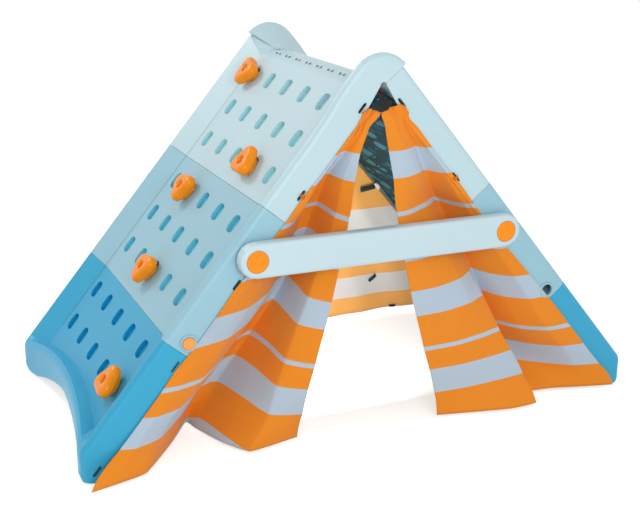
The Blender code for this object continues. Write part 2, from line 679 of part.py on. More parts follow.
def stay_bar(name, side):
    """One hollow stay bar; side is -1 at the front and 1 at the back, where it is turned half round."""
    pivot = Vector((side * PIVOT_X, side * BAR_REAR, PIVOT_Z))
    frame = bpy.data.objects.new(f"{name}_pivot", None)
    bpy.context.scene.collection.objects.link(frame)
    frame.location = pivot
    frame.rotation_euler = (0, 0, math.pi if side > 0 else 0)
    half = PIVOT_X
    steps = ((0.0, 0.0015), (0.002, 0.0), (BAR_THICKNESS - BAR_EDGE, 0.0), (BAR_THICKNESS - 0.45 * BAR_EDGE, 0.0012),
             (BAR_THICKNESS - 0.13 * BAR_EDGE, 0.004), (BAR_THICKNESS, BAR_EDGE))
    stations = [[(x + half, -out, z) for x, z in stadium(half, BAR_RADIUS - inset)] for out, inset in steps]
    bar = add_object(name, loft(stations), "sky_plastic", frame, 40)
    cells = bmesh.new()
    rib, wide, deep = 0.0015, BAR_RADIUS - 0.0045, BAR_THICKNESS - 0.005
    edges = [0.032 + (2 * half - 0.064) * i / 6 for i in range(7)]
    for start, end in zip(edges, edges[1:]):
        box = [(start + rib, -wide), (start + rib, wide), (end - rib, wide), (end - rib, -wide)]
        add_loft(cells, across(box, 0.01, -deep))
    boolean(bar, add_object(f"{name}_cells", cells, None, frame))
    head_seat = loft(across(circle((0, 0), 0.0102, 16), -BAR_THICKNESS + 0.0071, -BAR_THICKNESS - 0.012))
    boolean(bar, add_object(f"{name}_head_seat", head_seat, None, frame))
    seats = bmesh.new()
    for x in (0, 2 * half):
        deep_seat = 0.0035 if x == 0 else 0.0035 + BUTTON_TRAVEL + 0.001
        ring = circle((x, 0), CAP_RADIUS + 0.0005, 24)
        add_loft(seats, across(ring, -BAR_THICKNESS - 0.01, -BAR_THICKNESS + deep_seat))
    boolean(bar, add_object(f"{name}_seats", seats, None, frame))
    bores = bmesh.new()
    for x in (0, 2 * half):
        add_loft(bores, across(circle((x, 0), PIVOT_RADIUS + RUNNING_GAP, 12), 0.02, -BAR_THICKNESS - 0.01))
    boolean(bar, add_object(f"{name}_bores", bores, None, frame))
    return frame


def bar_catch(name, frame):
    """The sleeve behind the bar's free end that rests in the cradle."""
    start, end = SEAT_GAP, CATCH_REACH
    bore = PIVOT_RADIUS + RUNNING_GAP
    profile = ((bore, start), (bore, end), (CATCH_RADIUS - 0.001, end), (CATCH_RADIUS, end - 0.001),
               (CATCH_RADIUS, start))
    bm = bmesh.new()
    rings = [[bm.verts.new((x, along, z)) for x, z in circle((0, 0), r, 12)] for r, along in profile]
    for near, far in zip(rings, rings[1:] + rings[:1]):
        for i in range(12):
            bm.faces.new((near[i], near[i - 1], far[i - 1], far[i]))
    catch = add_object(name, bm, "sky_plastic", frame, 35)
    catch.location = (2 * PIVOT_X, 0, 0)
    return catch


def pivot_bolt(name, frame):
    """The shoulder bolt that a stay bar swings on, with its nut inside the rail."""
    head = BAR_THICKNESS - 0.0035 - 0.0005
    tail = BAR_STANDOFF + SKIN + 0.0004
    profile = ((0.0085, -head - 0.0001), (0.0095, -head + 0.0008), (0.0095, -head + 0.0028),
               (PIVOT_RADIUS, -head + 0.0028), (PIVOT_RADIUS, tail), (0.0095, tail), (0.0095, tail + 0.006))
    return turned_part(name, "steel", profile, (0, 0, 0), 1, frame, 12)


def cap_disc(name, frame):
    """The orange cap over a pivot bolt."""
    back = BAR_THICKNESS - 0.0035 + 0.0003
    front = BAR_THICKNESS + 0.0015
    profile = ((CAP_RADIUS, -back), (CAP_RADIUS, -front + 0.0015), (CAP_RADIUS - 0.0015, -front), (0.012, -front - 0.0004))
    return turned_part(name, "orange_plastic", profile, (0, 0, 0), 1, frame, 24)


def latch_button(name, frame):
    """The orange push button with the stem that runs inside the catch."""
    back = BAR_THICKNESS - 0.0035 - 0.0002
    front = BAR_THICKNESS + 0.0015
    stem = PIVOT_RADIUS - 0.0004
    profile = ((CAP_RADIUS - 0.0015, -front), (CAP_RADIUS, -front + 0.0015), (CAP_RADIUS, -back), (stem, -back),
               (stem, -0.005), (stem - 0.001, -0.004))
    button = turned_part(name, "orange_plastic", profile, (0, 0, 0), 1, frame, 24)
    button.location = (2 * PIVOT_X, 0, 0)
    return button


def latch_spring(name, frame):
    """The coil spring between a latch button and the floor of its seat."""
    floor = BAR_THICKNESS - 0.0035 - BUTTON_TRAVEL - 0.001
    front = BAR_THICKNESS - 0.0035 - 0.0007
    curve = bpy.data.curves.new(name, "CURVE")
    curve.dimensions = "3D"
    curve.bevel_depth = 0.0005
    curve.bevel_resolution = 0
    curve.use_fill_caps = True
    turns, per_turn = 3, 8
    spline = curve.splines.new("POLY")
    spline.points.add(turns * per_turn)
    for i, point in enumerate(spline.points):
        t = 2 * math.pi * i / per_turn
        along = floor + 0.0007 + (front - floor - 0.0014) * i / (turns * per_turn)
        point.co = (2 * PIVOT_X + 0.0085 * math.cos(t), -along, 0.0085 * math.sin(t), 1)
    spring = bpy.data.objects.new(name, curve)
    bpy.context.scene.collection.objects.link(spring)
    spring.parent = frame
    curve.materials.append(finish(name, "steel"))
    return spring


def side_peg(name, frame):
    """The orange plug in the collar near the lower seam."""
    out = HALF_DEPTH + PEG_COLLAR_HEIGHT
    profile = ((PEG_RADIUS - 0.0023, HALF_DEPTH - 0.010), (PEG_RADIUS - 0.0013, HALF_DEPTH - 0.009),
               (PEG_RADIUS - 0.0005, out), (PEG_RADIUS - 0.0005, out + 0.0015), (PEG_RADIUS - 0.003, out + 0.003))
    return turned_part(name, "orange_plastic", profile, (PEG_DOWN, 0, PEG_OUT), 1, frame, 16)


def sheet(name, key, rows, thickness):
    """A cloth solid: a grid of points thickened evenly."""
    bm = bmesh.new()
    grid = [[bm.verts.new(p) for p in row] for row in rows]
    for upper, lower in zip(grid, grid[1:]):
        for i in range(len(upper) - 1):
            bm.faces.new((upper[i], upper[i + 1], lower[i + 1], lower[i]))
    item = add_object(name, bm, key, None, 60)
    solid = item.modifiers.new("thickness", "SOLIDIFY")
    solid.thickness = thickness
    solid.offset = 0
    solid.use_even_offset = False
    return item


def spline_at(points, u):
    """A smooth curve through points (Catmull-Rom), at a share u of its length in steps."""
    last = len(points) - 1
    at = min(u * last, last - 1e-6)
    i = int(at)
    t = at - i
    p = [points[min(max(k, 0), last)] for k in (i - 1, i, i + 1, i + 2)]
    out = []
    for k in range(len(points[0])):
        a, b, c, d = (q[k] for q in p)
        out.append(0.5 * (2 * b + (c - a) * t + (2 * a - 5 * b + 4 * c - d) * t * t + (3 * b - a - 3 * c + d) * t ** 3))
    return out


def front_flap(name, hem, top):
    """A front flap: straight pulls from the gathered top down to a folded hem."""
    rows = []
    for r in range(FLAP_ROWS + 1):
        t = r / FLAP_ROWS
        row = []
        for c in range(FLAP_COLUMNS + 1):
            x, y, z = spline_at(hem, c / FLAP_COLUMNS)
            top_x = top[0] + (top[1] - top[0]) * c / FLAP_COLUMNS
            depth = CLOTH_DEPTH + (y - CLOTH_DEPTH) * t ** FOLD_GROWTH
            row.append((top_x + (x - top_x) * t, depth, CLOTH_TOP + (z - CLOTH_TOP) * t))
        rows.append(row)
    return sheet(name, "tent_cloth", rows, CLOTH)


def back_curtain(name):
    """The curtain that closes the back, with shallow hanging folds."""
    rows = []
    for r in range(CURTAIN_ROWS + 1):
        t = r / CURTAIN_ROWS
        half = CURTAIN_HALF_WIDTHS[0] + (CURTAIN_HALF_WIDTHS[1] - CURTAIN_HALF_WIDTHS[0]) * t
        height = CLOTH_TOP + (CURTAIN_HEM - CLOTH_TOP) * t
        row = []
        for c in range(CURTAIN_COLUMNS + 1):
            u = 2 * c / CURTAIN_COLUMNS - 1
            wave = CURTAIN_WAVE * t * (1 - u ** 8) * math.sin(13 * u + 0.6)
            row.append((half * u, CURTAIN_DEPTH + wave, height))
        rows.append(row)
    return sheet(name, "tent_cloth", rows, CLOTH)


def liner(name, frame):
    """The printed cloth panel that closes the inner side of one wall."""
    y, low, high = 0.3365, 0.0012, 0.0012 + LINER
    outline = [(0.049, low), (0.049, high), (0.986, high), (0.986, low)]
    return add_object(name, loft(across(outline, -y, -0.1, 0.1, y)), "liner_cloth", frame)


def main():
    """Build every piece."""
    clear_scene()
    keys = ("sky_plastic", "light_blue_plastic", "mid_blue_plastic")
    left = wall("left", True, keys, False)
    right = wall("right", False, keys, True)
    hinge_rod()
    for index in range(len(HOLDS)):
        climbing_hold(index, left)
        hold_bolt(index, left)
    catch_cradle("front_catch_cradle", right)
    catch_cradle("back_catch_cradle", left)
    for side, label, frame in ((-1, "front", left), (1, "back", right)):
        bar = stay_bar(f"{label}_stay_bar", side)
        pivot_bolt(f"{label}_pivot_bolt", bar)
        cap_disc(f"{label}_pivot_cap", bar)
        bar_catch(f"{label}_bar_catch", bar)
        latch_button(f"{label}_latch_button", bar)
        latch_spring(f"{label}_latch_spring", bar)
        side_peg(f"{label}_side_peg", frame)
    front_flap("front_flap_left", LEFT_HEM, FLAP_TOPS[0])
    front_flap("front_flap_right", RIGHT_HEM, FLAP_TOPS[1])
    back_curtain("back_curtain")
    liner("left_liner", left)
    liner("right_liner", right)
    bpy.context.view_layer.update()


main()
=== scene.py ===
"""Looks of the climbing wall with tent: moulded plastics, striped tent cloth, printed liners and the studio.

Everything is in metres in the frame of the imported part: X across the A, -Y towards the open front, Z up.
"""

import json
import logging
import math
from dataclasses import dataclass
from enum import Enum
from typing import Sequence

import bmesh
import bpy
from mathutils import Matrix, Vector


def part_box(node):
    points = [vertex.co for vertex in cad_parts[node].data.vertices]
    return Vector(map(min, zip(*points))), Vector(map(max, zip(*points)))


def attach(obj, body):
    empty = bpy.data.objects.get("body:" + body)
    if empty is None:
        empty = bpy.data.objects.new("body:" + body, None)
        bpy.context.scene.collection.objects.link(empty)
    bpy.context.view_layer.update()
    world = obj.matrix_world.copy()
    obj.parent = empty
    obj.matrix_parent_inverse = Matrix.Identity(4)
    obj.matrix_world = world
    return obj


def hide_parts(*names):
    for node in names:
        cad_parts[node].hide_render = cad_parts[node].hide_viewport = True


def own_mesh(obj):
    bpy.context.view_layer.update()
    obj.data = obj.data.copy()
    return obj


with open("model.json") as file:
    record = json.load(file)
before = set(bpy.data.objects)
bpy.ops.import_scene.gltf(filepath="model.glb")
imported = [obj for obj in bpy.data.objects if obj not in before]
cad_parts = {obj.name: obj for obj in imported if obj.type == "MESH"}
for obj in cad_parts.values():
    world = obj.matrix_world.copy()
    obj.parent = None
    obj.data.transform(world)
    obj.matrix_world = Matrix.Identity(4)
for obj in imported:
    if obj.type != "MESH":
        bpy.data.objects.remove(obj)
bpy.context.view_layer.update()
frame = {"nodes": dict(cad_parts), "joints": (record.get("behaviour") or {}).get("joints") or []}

LOG = logging.getLogger("climbing_wall_with_tent")

HINGE_HEIGHT = next(joint for joint in frame["joints"] if joint["name"] == "ridge_hinge")["pos_m"][2]

# How far each wall leans from upright
WALL_LEAN = math.radians(39.75)

HOLD_COUNT = 5

# Edges that fold more than this stay sharp on the pieces made here
SHARP_EDGE = math.radians(50)

# The tent cloth's printed length, which its stripes are shares of
PRINT_LENGTH = 0.744

Point = tuple[float, float, float]
Colour = tuple[float, float, float]


def toned(colour: Colour, share: float) -> Colour:
    """A colour scaled by a share, each part kept within 1."""
    return tuple(min(1.0, part * share) for part in colour)


def linear(value: int) -> float:
    """Linear share of an 8-bit display value."""
    share = value / 255
    return share / 12.92 if share <= 0.04045 else ((share + 0.055) / 1.055) ** 2.4


def srgb(red: int, green: int, blue: int) -> Colour:
    """Linear colour of an 8-bit display colour."""
    return linear(red), linear(green), linear(blue)


class Wire:
    """A value in a node tree; arithmetic on numbers adds the Math nodes it stands for."""

    def __init__(self, tree: bpy.types.NodeTree, socket: bpy.types.NodeSocket) -> None:
        """Wrap one output socket."""
        self.tree = tree
        self.socket = socket

    def _math(self, operation: str, *values: "Wire | float") -> "Wire":
        """Add one Math node.

        Args:
            operation: the node's operation.
            values: its inputs, in order.

        Returns:
            The node's result.
        """
        node = self.tree.nodes.new("ShaderNodeMath")
        node.operation = operation
        for socket, value in zip(node.inputs, values):
            if isinstance(value, Wire):
                self.tree.links.new(value.socket, socket)
            else:
                socket.default_value = value
        return Wire(self.tree, node.outputs[0])

    def __add__(self, other: "Wire | float") -> "Wire":
        """Sum."""
        return self._math("ADD", self, other)

    def __radd__(self, other: float) -> "Wire":
        """Sum with a plain number first."""
        return self._math("ADD", other, self)

    def __sub__(self, other: "Wire | float") -> "Wire":
        """Difference."""
        return self._math("SUBTRACT", self, other)

    def __rsub__(self, other: float) -> "Wire":
        """Difference from a plain number."""
        return self._math("SUBTRACT", other, self)

    def __mul__(self, other: "Wire | float") -> "Wire":
        """Product."""
        return self._math("MULTIPLY", self, other)

    def __rmul__(self, other: float) -> "Wire":
        """Product with a plain number first."""
        return self._math("MULTIPLY", other, self)

    def __truediv__(self, other: "Wire | float") -> "Wire":
        """Quotient."""
        return self._math("DIVIDE", self, other)

    def __gt__(self, other: "Wire | float") -> "Wire":
        """1 where this value is the greater, 0 elsewhere."""
        return self._math("GREATER_THAN", self, other)

    def __lt__(self, other: "Wire | float") -> "Wire":
        """1 where this value is the smaller, 0 elsewhere."""
        return self._math("LESS_THAN", self, other)

    def sine(self) -> "Wire":
        """Sine of an angle in radians."""
        return self._math("SINE", self)

    def size(self) -> "Wire":
        """The value without its sign."""
        return self._math("ABSOLUTE", self)

    def least(self, other: "Wire | float") -> "Wire":
        """The smaller of two values."""
        return self._math("MINIMUM", self, other)

    def most(self, other: "Wire | float") -> "Wire":
        """The larger of two values."""
        return self._math("MAXIMUM", self, other)


class Tree:
    """A node tree while it is being written."""

    def __init__(self, tree: bpy.types.NodeTree) -> None:
        """Take up a tree."""
        self.tree = tree

    def node(self, kind: str, settings: dict | None = None, output: int | str = 0, **inputs: object) -> Wire:
        """Add any node.

        Args:
            kind: the node's type.
            settings: its properties, set before its sockets.
            output: the output wanted.
            inputs: socket values or wires, by socket name with spaces written as underscores.

        Returns:
            The wanted output.
        """
        node = self.tree.nodes.new(kind)
        for key, value in (settings or {}).items():
            setattr(node, key, value)
        for key, value in inputs.items():
            self.feed(node.inputs[key.replace("_", " ")], value)
        return Wire(self.tree, node.outputs[output])

    def feed(self, socket: bpy.types.NodeSocket, value: object) -> None:
        """Link a wire to a socket, or set its constant.

        Args:
            socket: the socket.
            value: a wire, a number, a vector or a colour.
        """
        if isinstance(value, Wire):
            self.tree.links.new(value.socket, socket)
        elif isinstance(value, tuple) and len(value) == 3 and socket.type == "RGBA":
            socket.default_value = (*value, 1.0)
        else:
            socket.default_value = value

    def join(self, kind: str, *values: Wire) -> Wire:
        """Add a node that joins shaders.

        Args:
            kind: the node's type.
            values: its inputs, in order.

        Returns:
            The joined shader.
        """
        joined = self.node(kind)
        for socket, value in zip(joined.socket.node.inputs, values):
            self.feed(socket, value)
        return joined

    def seen_directly(self) -> Wire:
        """Tell rays that end at the camera from the light that reaches the object.

        Returns:
            1 for camera, glossy and transmitted rays, and 0 for all others.
        """
        camera = self.node("ShaderNodeLightPath", output="Is Camera Ray")
        rays = camera.socket.node.outputs
        glossy = Wire(self.tree, rays["Is Glossy Ray"])
        through = Wire(self.tree, rays["Is Transmission Ray"])
        return camera.most(glossy).most(through)


class Recipe(Tree):
    """One material's node tree, written round its Principled BSDF."""

    def __init__(self, name: str) -> None:
        """Start a material.

        Args:
            name: the material's name.
        """
        self.material = bpy.data.materials.new(name)
        self.material.use_nodes = True
        super().__init__(self.material.node_tree)
        self.shader = self.tree.nodes["Principled BSDF"]

    def mix(self, factor: Wire | float, first: Wire | Colour, second: Wire | Colour) -> Wire:
        """Mix two colours.

        Args:
            factor: share of the second colour.
            first: the colour at factor 0.
            second: the colour at factor 1.

        Returns:
            The mixed colour.
        """
        node = self.tree.nodes.new("ShaderNodeMix")
        node.data_type = "RGBA"
        self.feed(node.inputs[0], factor)
        self.feed(node.inputs[6], first)
        self.feed(node.inputs[7], second)
        return Wire(self.tree, node.outputs[2])

    def split(self, vector: Wire) -> tuple[Wire, Wire, Wire]:
        """Take a vector apart.

        Args:
            vector: the vector.

        Returns:
            Its X, Y and Z.
        """
        first = self.node("ShaderNodeSeparateXYZ", Vector=vector)
        outputs = first.socket.node.outputs
        return first, Wire(self.tree, outputs[1]), Wire(self.tree, outputs[2])

    def object_place(self) -> Wire:
        """Position on the object, in metres."""
        return self.node("ShaderNodeTexCoord", output="Object")

    def noise(self, scale: float, detail: float = 2.0, roughness: float = 0.5) -> Wire:
        """Cloudy noise from 0 to 1."""
        place = self.object_place()
        return self.node("ShaderNodeTexNoise", Vector=place, Scale=scale, Detail=detail, Roughness=roughness)

    def bump(self, height: Wire, distance: float, strength: float = 1.0, normal: Wire | None = None) -> Wire:
        """Turn a height into a bumped normal.

        Args:
            height: the height from 0 to 1.
            distance: how deep a height of 1 is, in metres.
            strength: how much of the bump shows.
            normal: the normal that it starts from, where that isn't the surface's own.

        Returns:
            The normal.
        """
        inputs = {"Height": height, "Distance": distance, "Strength": strength}
        if normal:
            inputs["Normal"] = normal
        return self.node("ShaderNodeBump", **inputs)

    def set(self, **inputs: object) -> None:
        """Feed the shader's sockets."""
        for key, value in inputs.items():
            self.feed(self.shader.inputs[key.replace("_", " ")], value)


@dataclass(frozen=True)
class PaintedShadeZones:
    """Where shade and bounce light are painted on a wall's plastic: inside its grip holes, and as a dark line
    along the foot of its far rail.

    Rows are down the slope from the hinge axis, floor, mouth, low and high are out of the wall's inner plane,
    and the holes' reach and the rail's foot are in Y.
    """

    first_row: float = 0.058
    last_row: float = 0.893
    hole_reach: float = 0.262
    hole_floor: float = 0.0303
    hole_mouth: float = 0.0402
    rail_foot: float = 0.265
    line_low: float = 0.0385
    line_high: float = 0.0470
    line_width: float = 0.0045

    def masks(self, recipe: Recipe) -> tuple[Wire, Wire]:
        """Find both zones of painted light and shade.

        Args:
            recipe: the material being written.

        Returns:
            1 inside the holes, where painted shade and bounce light go, and a soft line from 0 to 1 along the
            rail's foot, where painted shade goes.
        """
        across, depth, height = recipe.split(recipe.object_place())
        rise = height - HINGE_HEIGHT
        out = across.size() * math.cos(WALL_LEAN) + rise * math.sin(WALL_LEAN)
        down = across.size() * math.sin(WALL_LEAN) - rise * math.cos(WALL_LEAN)
        rows = (down > self.first_row) * (down < self.last_row)
        # Inside the grip holes, which take painted shade and bounce light
        holes = (out < self.hole_mouth) * (out > self.hole_floor) * (depth.size() < self.hole_reach) * rows
        # A soft line along the far rail's foot, which takes painted shade
        line = 1.0 - ((depth - self.rail_foot).size() / self.line_width).least(1.0)
        line = line * (out < self.line_high) * (out > self.line_low) * rows
        return holes, line


@dataclass(frozen=True)
class MouldedPlastic:
    """Satin moulded plastic: fine stipple, faint flow mottling, and edges that catch the light; on the walls,
    painted shade and bounce light inside the grip holes and a painted shade line along the far rail's foot.
    """

    name: str
    colour: Colour
    # Painted shade and bounce light inside the grip holes, on wall finishes only
    hole_painted_shade_and_bounce: Colour | None = None
    roughness: float = 0.42
    mottle: float = 0.035
    stipple_depth: float = 0.00006
    edge_round: float = 0.0022
    # How strongly and how dark painted shade darkens the line along the far rail's foot
    foot_painted_shade_strength: float = 0.42
    foot_painted_shade_tone: float = 0.35

    def build(self) -> bpy.types.Material:
        """Make the material.

        Returns:
            The material.
        """
        recipe = Recipe(self.name)
        cloud = recipe.noise(scale=7.0, detail=4.0, roughness=0.6)
        fine = recipe.noise(scale=1400.0, detail=2.0, roughness=0.6)
        paler = toned(self.colour, 1 + self.mottle)
        deeper = toned(self.colour, 1 - self.mottle)
        colour = recipe.mix(cloud, deeper, paler)
        if self.hole_painted_shade_and_bounce:
            holes, line = PaintedShadeZones().masks(recipe)
            # Painted shade and bounce light inside the grip holes
            colour = recipe.mix(holes, colour, self.hole_painted_shade_and_bounce)
            # Painted shade along the far rail's foot
            shade = toned(self.colour, self.foot_painted_shade_tone)
            colour = recipe.mix(self.foot_painted_shade_strength * line, colour, shade)
        scuff = recipe.noise(scale=38.0, detail=6.0, roughness=0.7)
        rough = self.roughness - 0.05 + 0.10 * scuff
        edge = recipe.node("ShaderNodeBevel", {"samples": 6}, Radius=self.edge_round)
        normal = recipe.bump(fine, self.stipple_depth, strength=0.6, normal=edge)
        recipe.set(Base_Color=colour, Roughness=rough, Normal=normal)
        recipe.set(Specular_IOR_Level=0.42)
        return recipe.material


@dataclass(frozen=True)
class GlossyPlastic:
    """Glossy moulded plastic with slight sink waviness."""

    name: str
    colour: Colour
    roughness: float = 0.24

    def build(self) -> bpy.types.Material:
        """Make the material.

        Returns:
            The material.
        """
        recipe = Recipe(self.name)
        cloud = recipe.noise(scale=30.0, detail=3.0, roughness=0.5)
        deeper = toned(self.colour, 0.94)
        colour = recipe.mix(cloud, deeper, self.colour)
        wave = recipe.noise(scale=60.0, detail=2.0, roughness=0.5)
        edge = recipe.node("ShaderNodeBevel", {"samples": 6}, Radius=0.0012)
        scuff = recipe.noise(scale=90.0, detail=4.0, roughness=0.6)
        recipe.set(Base_Color=colour, Roughness=self.roughness + 0.06 * scuff,
                   Normal=recipe.bump(wave, distance=0.0006, strength=0.35, normal=edge))
        recipe.set(Specular_IOR_Level=0.22, Coat_Weight=0.12, Coat_Roughness=0.10)
        return recipe.material


@dataclass(frozen=True)
class PlatedSteel:
    """Zinc-plated steel with fine turning marks."""

    name: str
    colour: Colour = (0.60, 0.61, 0.63)

    def build(self) -> bpy.types.Material:
        """Make the material.

        Returns:
            The material.
        """
        recipe = Recipe(self.name)
        marks = recipe.noise(scale=900.0, detail=3.0, roughness=0.7)
        tone = recipe.mix(recipe.noise(scale=60.0, detail=3.0), toned(self.colour, 0.85), self.colour)
        recipe.set(Base_Color=tone, Metallic=1.0, Roughness=0.24 + 0.16 * marks,
                   Normal=recipe.bump(marks, distance=0.00005, strength=0.5))
        return recipe.material


@dataclass(frozen=True)
class Stripe:
    """One pale stripe, as shares of the cloth's length down from its top."""

    start: float
    end: float


TENT_STRIPES = (Stripe(0.120, 0.203), Stripe(0.309, 0.323), Stripe(0.401, 0.468),
                Stripe(0.567, 0.650), Stripe(0.757, 0.771), Stripe(0.838, 0.920), Stripe(1.019, 1.2))


@dataclass(frozen=True)
class StripedCloth:
    """Plain-woven polyester with printed stripes; the print follows the cloth's own map.

    A stripe whose end lies between plain_from and plain_to is left out.
    """

    name: str
    ground: Colour
    pale: Colour
    length: float
    plain_from: float = 0.0
    plain_to: float = 0.0
    weave_pitch: float = 0.0011

    def build(self) -> bpy.types.Material:
        """Make the material.

        Returns:
            The material.
        """
        recipe = Recipe(self.name)
        across, along, _ = recipe.split(recipe.node("ShaderNodeUVMap", {"uv_map": "cut"}))
        band = None
        for stripe in TENT_STRIPES:
            if self.plain_from < stripe.end < self.plain_to:
                continue
            inside = (along > stripe.start * self.length) * (along < stripe.end * self.length)
            band = inside if band is None else band + inside
        cloud = recipe.noise(scale=16.0, detail=5.0, roughness=0.6)
        ground = recipe.mix(cloud, toned(self.ground, 0.93), self.ground)
        pale = recipe.mix(cloud, toned(self.pale, 0.96), self.pale)
        turn = 2 * math.pi / self.weave_pitch
        threads = (across * turn).sine() * (along * turn).sine()
        colour = recipe.mix(band, ground, pale)
        colour = recipe.mix(0.04 * (threads + 1.0), colour, (0.02, 0.02, 0.02))
        crumple = recipe.noise(scale=34.0, detail=4.0, roughness=0.55)
        height = threads * 0.10 + crumple
        recipe.set(Base_Color=colour, Roughness=0.78 + 0.10 * cloud,
                   Normal=recipe.bump(height, distance=0.0011, strength=0.55))
        recipe.set(Specular_IOR_Level=0.25, Sheen_Weight=0.15, Sheen_Roughness=0.5)
        return recipe.material


@dataclass(frozen=True)
class LinerPrint:
    """Dark printed cloth: a general pattern of leaf shapes, ribs and small berries."""

    name: str
    ground: Colour
    leaf: Colour
    deep_leaf: Colour
    berry: Colour
    leaf_size: float = 0.40
    small_leaf_size: float = 0.36
    berry_size: float = 0.11
    rib_turns: float = 9.0
    rib_edge: float = 0.86

    def build(self) -> bpy.types.Material:
        """Make the material.

        Returns:
            The material.
        """
        recipe = Recipe(self.name)
        place = recipe.node("ShaderNodeUVMap", {"uv_map": "cut"})
        turned = self.turned(recipe, place, angle=0.7, scale=(9.0, 26.0, 1.0))
        other = self.turned(recipe, place, angle=-0.9, scale=(14.0, 38.0, 1.0))
        rib = (recipe.split(turned)[0] * self.rib_turns).sine() > self.rib_edge
        big_leaf = (self.cells(recipe, turned, scale=1.0, spread=0.75) < self.leaf_size) * (1.0 - rib * 0.8)
        small_leaf = self.cells(recipe, other, scale=1.0, spread=0.8) < self.small_leaf_size
        berry = self.cells(recipe, place, scale=6.0, spread=1.0) < self.berry_size
        colour = recipe.mix(small_leaf, self.ground, self.deep_leaf)
        colour = recipe.mix(big_leaf, colour, self.leaf)
        colour = recipe.mix(berry, colour, self.berry)
        crumple = recipe.noise(scale=22.0, detail=4.0, roughness=0.55)
        recipe.set(Base_Color=colour, Roughness=0.62 + 0.12 * crumple,
                   Normal=recipe.bump(crumple, distance=0.0022, strength=0.6))
        recipe.set(Specular_IOR_Level=0.12)
        return recipe.material

    @staticmethod
    def turned(recipe: Recipe, place: Wire, angle: float, scale: Point) -> Wire:
        """The cloth's map, turned and stretched for one kind of leaf."""
        return recipe.node("ShaderNodeMapping", Vector=place, Rotation=(0.0, 0.0, angle), Scale=scale)

    @staticmethod
    def cells(recipe: Recipe, place: Wire, scale: float, spread: float) -> Wire:
        """Distance from the middles of scattered cells."""
        return recipe.node("ShaderNodeTexVoronoi", {"feature": "F1"}, "Distance", Vector=place, Scale=scale,
                           Randomness=spread)


@dataclass(frozen=True)
class PlainCloth:
    """Webbing, straps and tags: one colour with a visible weave."""

    name: str
    colour: Colour
    pitch: float = 0.0009

    def build(self) -> bpy.types.Material:
        """Make the material.

        Returns:
            The material.
        """
        recipe = Recipe(self.name)
        place = recipe.object_place()
        weave = recipe.node("ShaderNodeTexWave", {"bands_direction": "DIAGONAL"}, 1, Vector=place,
                            Scale=0.15 / self.pitch, Distortion=0.4)
        tone = recipe.mix(weave, toned(self.colour, 0.82), self.colour)
        recipe.set(Base_Color=tone, Roughness=0.82 + 0.05 * weave,
                   Normal=recipe.bump(weave, distance=0.0003, strength=0.5))
        recipe.set(Specular_IOR_Level=0.25)
        return recipe.material


class Finish(Enum):
    """Every finish on the object."""

    # The third colour of each wall finish is painted shade and bounce light inside its grip holes
    SKY = MouldedPlastic("sky_plastic_satin", srgb(190, 217, 224), srgb(172, 222, 228))
    LIGHT = MouldedPlastic("light_blue_plastic_satin", srgb(152, 196, 211), srgb(104, 196, 216))
    MID = MouldedPlastic("mid_blue_plastic_satin", srgb(48, 166, 206), srgb(4, 150, 200))
    BAR = MouldedPlastic("bar_plastic_satin", srgb(196, 219, 226), roughness=0.38)
    ORANGE = GlossyPlastic("orange_plastic_gloss", srgb(255, 146, 0))
    PEG = GlossyPlastic("pale_orange_plastic", srgb(248, 165, 84), roughness=0.4)
    STEEL = PlatedSteel("zinc_steel")
    FLAP = StripedCloth("flap_cloth", srgb(246, 146, 34), srgb(188, 206, 222), PRINT_LENGTH)
    # Lighter copy of the tent cloth: painted backlight on the back curtain, and the paler reverse side on the
    # backs of the flaps
    REVERSE_AND_PAINTED_BACKLIGHT_CLOTH = StripedCloth("curtain_cloth", srgb(252, 182, 96), srgb(224, 222, 219), PRINT_LENGTH,
                           plain_from=0.33, plain_to=0.52)
    LINER = LinerPrint("liner_cloth_print", srgb(6, 52, 64), srgb(52, 116, 126), srgb(14, 80, 96),
                       srgb(168, 44, 30))
    # Also paints the shade in the gaps beside the hinge fingers
    WEBBING_AND_GAP_SHADE = PlainCloth("dark_webbing", srgb(38, 62, 70))
    STRAP = PlainCloth("orange_strap", srgb(214, 120, 30), pitch=0.0006)
    TAG = PlainCloth("bare_tag", srgb(236, 238, 238), pitch=0.0005)


@dataclass(frozen=True)
class WallSection:
    """One moulded section of a wall: its finish, its material slot and its rows of grip holes."""

    part: str
    which: Finish
    slot: str
    rows: tuple[float, ...]


WALL_SECTIONS = (WallSection("top", Finish.SKY, "sky_plastic", (0.085, 0.186, 0.287)),
                 WallSection("middle", Finish.LIGHT, "light_blue_plastic", (0.420, 0.520, 0.621)),
                 WallSection("bottom", Finish.MID, "mid_blue_plastic", (0.763, 0.864)))

_MADE: dict[Finish, bpy.types.Material] = {}


def finish(which: Finish) -> bpy.types.Material:
    """Find the material of a finish, made once.

    Args:
        which: the finish.

    Returns:
        Its material.
    """
    if which not in _MADE:
        _MADE[which] = which.value.build()
    return _MADE[which]


def dress(node: str, which: Finish) -> bpy.types.Object:
    """Give a CAD node its finish.

    Args:
        node: the node's name.
        which: its finish.

    Returns:
        The node's object.
    """
    item = frame["nodes"][node]
    for slot in item.material_slots:
        slot.material = finish(which)
    if not item.material_slots:
        item.data.materials.append(finish(which))
    return item


def new_piece(name: str, bm: bmesh.types.BMesh, which: Finish) -> bpy.types.Object:
    """Link a bmesh as a smooth piece.

    Args:
        name: the piece's name.
        bm: its mesh, freed here.
        which: its finish.

    Returns:
        The new object.
    """
    mesh = bpy.data.meshes.new(name)
    bm.to_mesh(mesh)
    bm.free()
    item = bpy.data.objects.new(name, mesh)
    bpy.context.scene.collection.objects.link(item)
    mesh.materials.append(finish(which))
    mesh.shade_smooth()
    mesh.set_sharp_from_angle(angle=SHARP_EDGE)
    return item


